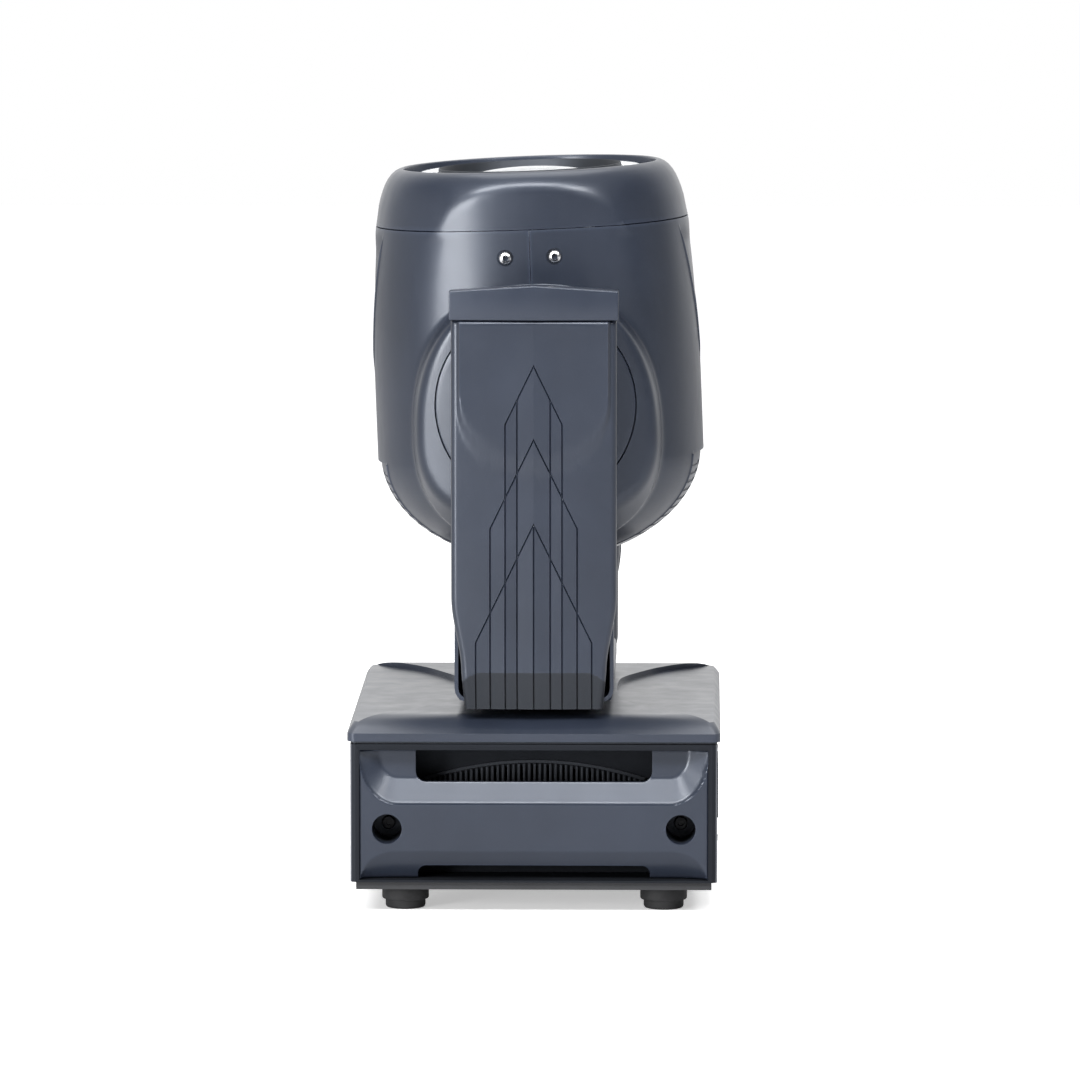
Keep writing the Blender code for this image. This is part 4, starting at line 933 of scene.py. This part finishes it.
def build_arm_inner_cover(end_name, end):
    """The cover on the arm's head side: a shell with a broad fillet and a collar round the shaft."""
    turns = np.linspace(0.0, math.pi / 2, 9)
    rings = [(0.0, INNER_SPLIT_Y), (0.0, 124.0), (0.0, 118.0)]
    for t in turns:
        rings.append((INNER_FILLET * (1 - math.cos(t)), INNER_FACE_Y + INNER_FILLET * (1 - math.sin(t))))
    points = []
    for inset, y in rings:
        points += [(x, end * y, z) for x, z in arm_outline(inset)]
    count = len(points) // len(rings)
    faces = lattice_faces(len(rings), count, wrap=True)
    faces.append(tuple((len(rings) - 1) * count + i for i in range(count)))
    cover = mesh_object("inner_cover_" + end_name, points, faces)
    face_outwards(cover)
    thick = cover.modifiers.new("wall", "SOLIDIFY")
    thick.thickness = INNER_WALL * MM
    thick.offset = -1.0
    bake(cover)
    near, far = sorted((end * 95.0, end * 125.0))
    carve(cover, disc("shaft_hole", (0.0, TILT_Z), SHAFT_HOLE, near, far, "Y", 64))
    place_piece(cover, "yoke", "housing", "arm_inner_cover_" + end_name)
    collar = [(SHAFT_HOLE, 104.9), (SHAFT_HOLE, 101.4), (13.0, 100.6), (29.0, 100.6)]
    collar += [(31.5, 101.4), (33.5, 103.2), (34.6, 104.9)]
    ring = revolve("hub_collar_" + end_name, collar, 96, shift(0.0, 0.0, TILT_Z) @ facing(end))
    place_piece(ring, "yoke", "dark_plastic")


def face_outwards(obj):
    """Turn an open mesh's faces away from its own middle."""
    bm = bmesh.new()
    bm.from_mesh(obj.data)
    middle = sum((v.co for v in bm.verts), Vector()) / len(bm.verts)
    outward = 0.0
    for face in bm.faces:
        outward += face.normal.dot(face.calc_center_median() - middle) * face.calc_area()
    if outward < 0:
        bmesh.ops.reverse_faces(bm, faces=bm.faces)
    bm.to_mesh(obj.data)
    bm.free()


# Base

# Handle panel: a scoop with elliptical ends round the slot, and a sloping chin
SCOOP_MIDDLE = 79.5
SCOOP_END = 22.8
SCOOP_TOP = 93.5
SCOOP_DEEP = 29.5
SCOOP_STEP = 0.9
SCOOP_SLOPE = 0.46
SCOOP_MOST = 7.0
CHIN_TOP = 36.7
CHIN_FALL = 17.0
CHIN_FROM = 80.0
CHIN_REACH = 21.5
CHIN_SLOPE = 0.45
PANEL_ROUNDING = 1.3
# Half width, foot or top, and corner radius
HANDLE_SLOT = (69.3, 76.7, 6.0)
FOOT_NOTCH = (68.0, 27.8, 5.0)
# Screw holes beside the handle, and the wall behind it
BOSS_X = 86.0
BOSS_Z = 49.7
BOSS_HOLE = 8.75
RECESS_WALL = 111.3
# Lid: how far its edge slopes in at the sides and the ends, and falls
LID_SIDE = 9.0
LID_FRONT = 27.0
LID_DROP = 8.6
LID_SHADOW = 1.3
FAN_DROP = 3.0
# Grille in the recess
GRILLE_HALF = 64.0
GRILLE_FOOT = 64.0
GRILLE_SPRING = 74.0
GRILLE_RISE = 10.5
GRILLE_PITCH = 3.1
GRILLE_RIB = 1.5


def panel_scoop(x, z):
    """Distance inside the scoop round the handle's slot, positive inside it."""
    x = abs(x)
    if x < SCOOP_MIDDLE:
        return z - (SCOOP_TOP - SCOOP_DEEP)
    reach = math.hypot((x - SCOOP_MIDDLE) / SCOOP_END, min(0.0, z - SCOOP_TOP) / SCOOP_DEEP)
    return (1.0 - reach) * SCOOP_DEEP


def panel_relief(x, z, half, low, high):
    """Depth of the handle panel below its front plane."""
    inside = panel_scoop(x, z)
    depth = 0.0
    if inside > 0.0:
        depth = SCOOP_STEP * smooth_step(inside, 0.0, SCOOP_STEP) + min(SCOOP_MOST, SCOOP_SLOPE * inside)
    side = max(0.0, min(1.0, (abs(x) - CHIN_FROM) / CHIN_REACH))
    chin_line = CHIN_TOP - CHIN_FALL * (1.0 - math.sqrt(1.0 - side * side))
    if z < chin_line:
        depth += CHIN_SLOPE * (chin_line - z)
    return depth + rounding(min(half - abs(x), high - z, z - low), PANEL_ROUNDING)


def build_handle_panel(end_name, end):
    """The panel with the carrying handle: slot, scoop, sloping chin and two screw holes."""
    low, high = box_mm("handle_panel_" + end_name)
    face, back = max(abs(low[1]), abs(high[1])), min(abs(low[1]), abs(high[1]))
    half, bottom, top = high[0] + 0.5, low[2], high[2]
    border = [0.0, 0.06, 0.25, 0.55, 0.95, 1.4]
    inner_x = list(np.arange(-half + 2.1, half - 2.0, 1.05))
    inner_z = list(np.arange(bottom + 2.0, top - 1.9, 0.75))
    xs = [-half + b for b in border] + inner_x + [half - b for b in border[::-1]]
    zs = [bottom + b for b in border] + inner_z + [top - b for b in border[::-1]]
    grid = [[(x, end * (face - panel_relief(x, z, half, bottom, top)), z) for x in xs] for z in zs]
    panel = slab("end_panel_" + end_name, grid, lambda p: (p[0], end * back, p[2]))
    near, far = sorted((end * (back - 5), end * (face + 5)))
    slot_half, slot_foot, slot_corner = HANDLE_SLOT
    notch_half, notch_top, notch_corner = FOOT_NOTCH
    slot = rounded_rectangle((-slot_half, slot_foot), (slot_half, top + 20), slot_corner)
    notch = rounded_rectangle((-notch_half, bottom - 20), (notch_half, notch_top), notch_corner)
    tools = [prism("slot", slot, near, far, "Y"), prism("notch", notch, near, far, "Y")]
    for side in SIDES.values():
        tools.append(disc("hole", (side * BOSS_X, BOSS_Z), BOSS_HOLE, near, far, "Y", 48))
    carve(panel, *tools)
    bake(add_bevel(panel, 0.6, 2, 60.0))
    place_piece(panel, "base", "housing", "handle_panel_" + end_name)
    for side_name, side in SIDES.items():
        place = shift(side * BOSS_X, 0.0, BOSS_Z) @ facing(end)
        build_panel_boss(end_name + "_" + side_name, place, back - 0.3)


def build_panel_boss(name, place, depth):
    """The deep cup behind a screw hole of the handle panel, and the screw at its bottom."""
    wall = RECESS_WALL
    cup = [(8.9, depth), (10.6, depth), (11.0, wall), (0.05, wall), (0.05, wall + 3.0), (8.5, wall + 3.0)]
    place_piece(revolve("screw_boss_" + name, cup, 40, place), "base", "dark_plastic")
    head = [(4.0, wall + 3.2), (4.0, wall + 4.6), (3.4, wall + 5.6), (1.6, wall + 5.9)]
    head += [(1.5, wall + 4.2), (0.05, wall + 4.2), (0.05, wall + 3.2)]
    place_piece(revolve("panel_screw_" + name, head, 28, place), "base", "steel")


def inset_plate(name, half_x, half_y, inset_x, inset_y, low, high):
    """A flat plate with rounded corners, smaller than a rectangle by an inset along each axis."""
    x, y = half_x - inset_x, half_y - inset_y
    return prism(name, rounded_rectangle((-x, -y), (x, y), 3.0), low, high, "Z")


def build_top_cover():
    """The lid of the base: raised fields under the arms and lowered fans at the sides."""
    low, high = box_mm("base_top_cover")
    half_x, half_y, bottom, top = high[0] + 0.9, high[1], low[2], high[2]
    fan_top = top - FAN_DROP
    outline = rounded_rectangle((-half_x, -half_y), (half_x, half_y), 5.0, 8)
    count = len(outline)
    rings = [(0.0, 0.0, bottom + LID_SHADOW)]
    for share in np.linspace(1.0, 0.0, 16):
        rings.append((LID_SIDE * (1.0 - share), LID_FRONT * (1.0 - share), top - LID_DROP * share * share))
    points = []
    for inset_x, inset_y, z in rings:
        shrink_x, shrink_y = (half_x - inset_x) / half_x, (half_y - inset_y) / half_y
        points += [(x * shrink_x, y * shrink_y, z) for x, y in outline]
    faces = lattice_faces(len(rings), count, wrap=True)
    faces.append(tuple(range(count)))
    faces.append(tuple((len(rings) - 1) * count + i for i in range(count)))
    cover = mesh_object("top_cover", points, faces)
    edge, beyond = fan_edge(), half_x + 20
    fan = [(beyond, edge[0][1]), *edge, (beyond, edge[-1][1])]
    tools = []
    for side_name, side in SIDES.items():
        tools.append(prism("fan_" + side_name, [(side * x, y) for x, y in fan], fan_top, top + 10, "Z"))
    carve(cover, *tools)
    bake(add_bevel(cover, 0.9, 4, 28.0))
    tools = [disc("spindle_hole", (0, 0), 20.0, bottom + 4, top + 5, "Z", 64)]
    tools.append(inset_plate("cavity", half_x, half_y, 3, 11, bottom - 5, fan_top - 3.0))
    carve(cover, *tools)
    flat = cover.modifiers.new("flat_fields", "WEIGHTED_NORMAL")
    flat.keep_sharp = True
    place_piece(cover, "base", "housing", "base_top_cover", material="lid")
    gasket = inset_plate("lid_gasket", half_x, half_y, 2.2, 2.2, bottom, bottom + LID_SHADOW + 0.1)
    carve(gasket, inset_plate("middle", half_x, half_y, 6, 14, bottom - 5, bottom + 10))
    place_piece(gasket, "base", "dark_plastic")


def grille_top(x):
    """Height of the grille's flat arch."""
    return GRILLE_SPRING + GRILLE_RISE * (1.0 - (x / GRILLE_HALF) ** 2)


def build_grille(end_name, end):
    """Upright ribs under a flat arch, on the wall behind the handle."""
    near, far = sorted((end * 111.1, end * 112.6))
    ribs = []
    count = int(GRILLE_HALF / GRILLE_PITCH)
    for index in range(-count, count + 1):
        x = index * GRILLE_PITCH
        left, right, top = x - GRILLE_RIB / 2, x + GRILLE_RIB / 2, grille_top(x)
        outline = [(left, GRILLE_FOOT), (right, GRILLE_FOOT), (right, top), (left, top)]
        ribs.append(prism("rib", outline, near, far, "Y"))
    grille = merged("recess_grille_" + end_name, ribs)
    arch = [(x, grille_top(x)) for x in np.linspace(-GRILLE_HALF, GRILLE_HALF, 41)]
    outline = [(x, z + 0.4) for x, z in arch] + [(x * 1.02, z + 2.0) for x, z in arch[::-1]]
    frame_arch = prism("recess_arch_" + end_name, outline, near, far + 0.4 * (end > 0), "Y")
    place_piece(add_bevel(grille, 0.25, 2), "base", "dark_plastic")
    place_piece(frame_arch, "base", "dark_plastic")


def fan_edge():
    """The curved edge of the lowered fan, from the front corner to the rear corner."""
    anchors = [(109.0, 141.5), (94.0, 125.0), (80.0, 112.0), (69.0, 95.5), (60.0, 76.0)]
    anchors += [(53.0, 60.0), (49.0, 46.0), (47.5, 24.0), (47.0, 0.0)]
    ys = [-a[1] for a in anchors]
    xs = [a[0] for a in anchors]
    smooth = [(float(np.interp(y, ys, xs)), float(y)) for y in np.linspace(ys[0], 0.0, 60)]
    for _ in range(6):
        middle = [((a[0] + 2 * b[0] + c[0]) / 4, b[1]) for a, b, c in zip(smooth, smooth[1:], smooth[2:])]
        smooth = [smooth[0], *middle, smooth[-1]]
    return smooth + [(x, -y) for x, y in smooth[-2::-1]]


def build_feet():
    """Round rubber feet with a collar, a softened tread and a countersunk screw hole."""
    profile = [(0.05, 2.4), (3.4, 2.4), (3.6, 1.0), (5.2, 0.05), (10.0, 0.0), (11.0, 0.3), (11.6, 1.0)]
    profile += [(11.8, 2.0), (11.8, 4.5), (12.0, 5.0), (12.6, 5.2), (13.3, 5.4), (13.7, 5.9)]
    profile += [(13.8, 6.6), (13.8, 13.1), (13.6, 13.5), (13.2, 13.7), (0.05, 13.7)]
    for index in range(1, 5):
        name = "foot_" + str(index)
        x, y, _ = middle_mm(name)
        foot = revolve("rubber_" + name, profile, 72, shift(x, y, 0.0))
        place_piece(foot, "base", "rubber", name)


# Control and connector panels

PANEL_FACE = 106.95
PANEL_SCREWS = [(-59.0, 33.0), (59.0, 33.0), (-59.0, 87.0), (59.0, 87.0)]


def on_side(side, y, z):
    """Places a piece made round Z so that its Z points out of the base's side, on the panel's face."""
    return shift(side * PANEL_FACE, y, z) @ Matrix.Rotation(math.radians(90 * side), 4, "Y")


def build_side_screw(name, side, y, z, size):
    """A small screw on a side panel, with a round recess in its head."""
    profile = [(0.05, 0.02), (size, 0.02), (size, 0.35), (0.86 * size, 0.85)]
    profile += [(0.55 * size, 1.1), (0.5 * size, 0.5), (0.05, 0.5)]
    screw = revolve(name, profile, 32, on_side(side, y, z))
    place_piece(screw, "base", "screw")


def half_width(node):
    """Half the width of a CAD node along Y, in millimetres."""
    low, high = box_mm(node)
    return (high[1] - low[1]) / 2


def side_plate(name, side, outline, hole, height):
    """A flat plate on a side panel with a hole in it; both outlines are in Y and Z."""
    near, far = sorted((side * PANEL_FACE, side * (PANEL_FACE + height)))
    plate = prism(name, outline, near, far, "X")
    carve(plate, prism("hole", hole, near - 5, far + 5, "X"))
    add_bevel(plate, 0.3, 3)
    place_piece(plate, "base", "dark_plastic")


def build_side_panels():
    """Screws of both panels, the display's frame, the buttons' collars and the sockets' flanges."""
    for side_name, side in SIDES.items():
        for index, (y, z) in enumerate(PANEL_SCREWS):
            build_side_screw("side_screw_" + side_name + "_" + str(index + 1), side, y, z, 2.5)
    low, high = box_mm("display_window")
    window = rounded_rectangle((low[1] - 0.3, low[2] - 0.3), (high[1] + 0.3, high[2] + 0.3), 1.5)
    border = rounded_rectangle((low[1] - 3.4, low[2] - 3.0), (high[1] + 3.4, high[2] + 3.4), 3.5)
    side_plate("display_frame", SIDES["left"], border, window, 0.9)
    for index in range(1, 5):
        _, y, z = middle_mm("menu_button_" + str(index))
        inner = half_width("menu_button_" + str(index)) + 0.35
        profile = [(inner, 0.02), (inner + 1.5, 0.02), (inner + 1.4, 0.4), (inner + 0.8, 0.7), (inner, 0.6)]
        collar = revolve("button_collar_" + str(index), profile, 48, on_side(SIDES["left"], y, z))
        place_piece(collar, "base", "dark_plastic")
    for name in ("power_inlet", "data_inlet", "data_outlet"):
        _, y, z = middle_mm(name)
        radius = half_width(name) + 0.3
        reach_y, reach_z = radius + 2.7, radius + 4.6
        flange = rounded_rectangle((y - reach_y, z - reach_z), (y + reach_y, z + reach_z), 2.0)
        side_plate(name + "_flange", SIDES["right"], flange, circle((y, z), radius, 60), 1.2)
        for number, way in enumerate((-1, 1)):
            place = (y + way * (reach_y - 2.6), z + way * (reach_z - 2.6))
            build_side_screw(name + "_screw_" + str(number + 1), SIDES["right"], *place, 1.6)


# Carried-over CAD nodes

SOFT_EDGES = {
    "base_shell": 1.5,
    "base_chassis": 0.5,
    "crossbar_cover": 1.2,
    "control_panel": 0.4,
    "connector_panel": 0.4,
    "display_window": 0.3,
    "yoke_frame": 0.4,
    "pan_spindle": 0.5,
}
END_FRAME_X = 103.0
END_FRAME_Y = 100.0


def dress_cad_nodes():
    """Every CAD node gets its slot's material, and the visible ones softened edges.

    The end frames of the base's shell and the walls inside them get the darker trim: black plastic, with painted
    shade that keeps the frames and the recess dark under the studio light.
    """
    for name, node in NODES.items():
        node.data.materials.clear()
        node.data.materials.append(MATERIALS[SLOTS[name]])
        if name in SOFT_EDGES:
            add_bevel(node, SOFT_EDGES[name], 3, 40.0)
    shell = NODES["base_shell"].data
    # Painted shade: the shell's end faces and the recess walls inside the end frames get the darker trim, so they
    # stay dark under the key light
    shell.materials.append(MATERIALS["trim_and_shade"])
    for face in shell.polygons:
        across, along = abs(face.center.x) / MM, abs(face.center.y) / MM
        if abs(face.normal.y) > 0.5 or (across < END_FRAME_X and along > END_FRAME_Y):
            face.material_index = 1


# Studio


def floor_paper():
    """White paper that the object sees as a darker ground, so that its underside stays dark."""
    paper = Recipe("studio_paper")
    seen = paper.add("ShaderNodeLightPath").outputs["Is Camera Ray"]
    white = paper.mix(paper.noise(60.0, 3.0), (0.93, 0.93, 0.93), (0.96, 0.96, 0.96))
    paper.colour(paper.mix(seen, (0.5, 0.5, 0.51), white))
    paper.set("Roughness", 0.9)
    paper.set("Emission Color", (1.0, 1.0, 1.0, 1.0))
    paper.link(paper.range(seen, 0.0, 1.0, 0.12, 0.45), paper.shader.inputs["Emission Strength"])
    return paper.material


# Light from the world: axis, where a lobe starts and is full along it, and its strength
SKY_FLOOR = 0.12
SKY = [("Y", 0.2, 0.9, 0.95), ("Z", 0.45, 0.95, 0.5), ("X", -0.8, -0.98, 0.5), ("X", 0.9, 0.99, 0.2)]


def build_world():
    """White to the camera; to the object dim, with soft lobes behind, above and at both sides."""
    world = bpy.data.worlds.new("studio")
    bpy.context.scene.world = world
    world.use_nodes = True
    tree = world.node_tree
    direction = tree.nodes.new("ShaderNodeTexCoord").outputs["Generated"]
    parts = tree.nodes.new("ShaderNodeSeparateXYZ")
    tree.links.new(direction, parts.inputs["Vector"])
    total = None
    for axis, low, high, power in SKY:
        ramp = tree.nodes.new("ShaderNodeMapRange")
        ramp.interpolation_type = "SMOOTHSTEP"
        for key, value in zip(("From Min", "From Max", "To Min", "To Max"), (low, high, 0.0, power)):
            ramp.inputs[key].default_value = value
        tree.links.new(parts.outputs[axis], ramp.inputs["Value"])
        plus = tree.nodes.new("ShaderNodeMath")
        plus.operation = "ADD"
        plus.inputs[1].default_value = SKY_FLOOR
        tree.links.new(ramp.outputs["Result"], plus.inputs[0])
        if total is not None:
            tree.links.new(total, plus.inputs[1])
        total = plus.outputs["Value"]
    seen = tree.nodes.new("ShaderNodeLightPath").outputs["Is Camera Ray"]
    strength = tree.nodes.new("ShaderNodeMix")
    tree.links.new(seen, strength.inputs[0])
    tree.links.new(total, strength.inputs[2])
    strength.inputs[3].default_value = 1.0
    background = tree.nodes["Background"]
    background.inputs["Color"].default_value = (1.0, 1.0, 1.0, 1.0)
    tree.links.new(strength.outputs[0], background.inputs["Strength"])


AIM = Vector((0.0, 0.0, 0.2))


def build_studio():
    """The floor, the world and the lamps."""
    reach = 6000
    corners = [(-reach, -reach, 0), (reach, -reach, 0), (reach, reach, 0), (-reach, reach, 0)]
    floor = mesh_object("floor", corners, [(0, 1, 2, 3)])
    floor.data.materials.append(floor_paper())
    build_world()
    add_light("key", (-0.2, -2.0, 2.4), 93.0, (2.2, 0.8))
    add_light("softbox", (-1.95, -2.4, 0.5), 66.0, (0.9, 1.0))
    for side_name, side, power in (("left", -1, 45.0), ("right", 1, 52.0)):
        add_light("upper_" + side_name, (side * 1.6, -2.3, 2.2), power, (0.9, 0.7))
    add_light("top", (0.0, 0.5, 2.2), 14.0, (1.4, 1.2))


def add_light(name, place, power, size):
    """A rectangular lamp that looks at the object."""
    light = bpy.data.lights.new(name, "AREA")
    light.shape = "RECTANGLE"
    light.size, light.size_y = size
    light.energy = power
    lamp = add_object(name, light)
    lamp.location = place
    lamp.rotation_euler = (AIM - Vector(place)).to_track_quat("-Z", "Y").to_euler()


CAMERA_PLACE = (0.0968, -4.8, 0.7296)
CAMERA_LENS = 267.96
CAMERA_DOWN = 6.243
CAMERA_LEFT = 1.1452


def build_camera():
    """A long lens in front of the handle, a little to the right of the middle and looking down."""
    data = bpy.data.cameras.new("camera")
    data.sensor_width = 36.0
    data.lens = CAMERA_LENS
    camera = add_object("camera", data)
    camera.location = CAMERA_PLACE
    camera.rotation_euler = (math.radians(90.0 - CAMERA_DOWN), 0.0, math.radians(CAMERA_LEFT))
    bpy.context.scene.camera = camera
    bpy.context.scene.view_settings.view_transform = "Standard"


dress_cad_nodes()
build_head_shells()
build_hub_discs()
build_bezel()
build_front_glass()
build_head_screws()
for end_name, end in ENDS.items():
    build_arm_panel(end_name, end)
    build_arm_cap(end_name, end)
    build_arm_inner_cover(end_name, end)
    build_handle_panel(end_name, end)
    build_grille(end_name, end)
build_top_cover()
build_feet()
build_side_panels()
build_studio()
build_camera()
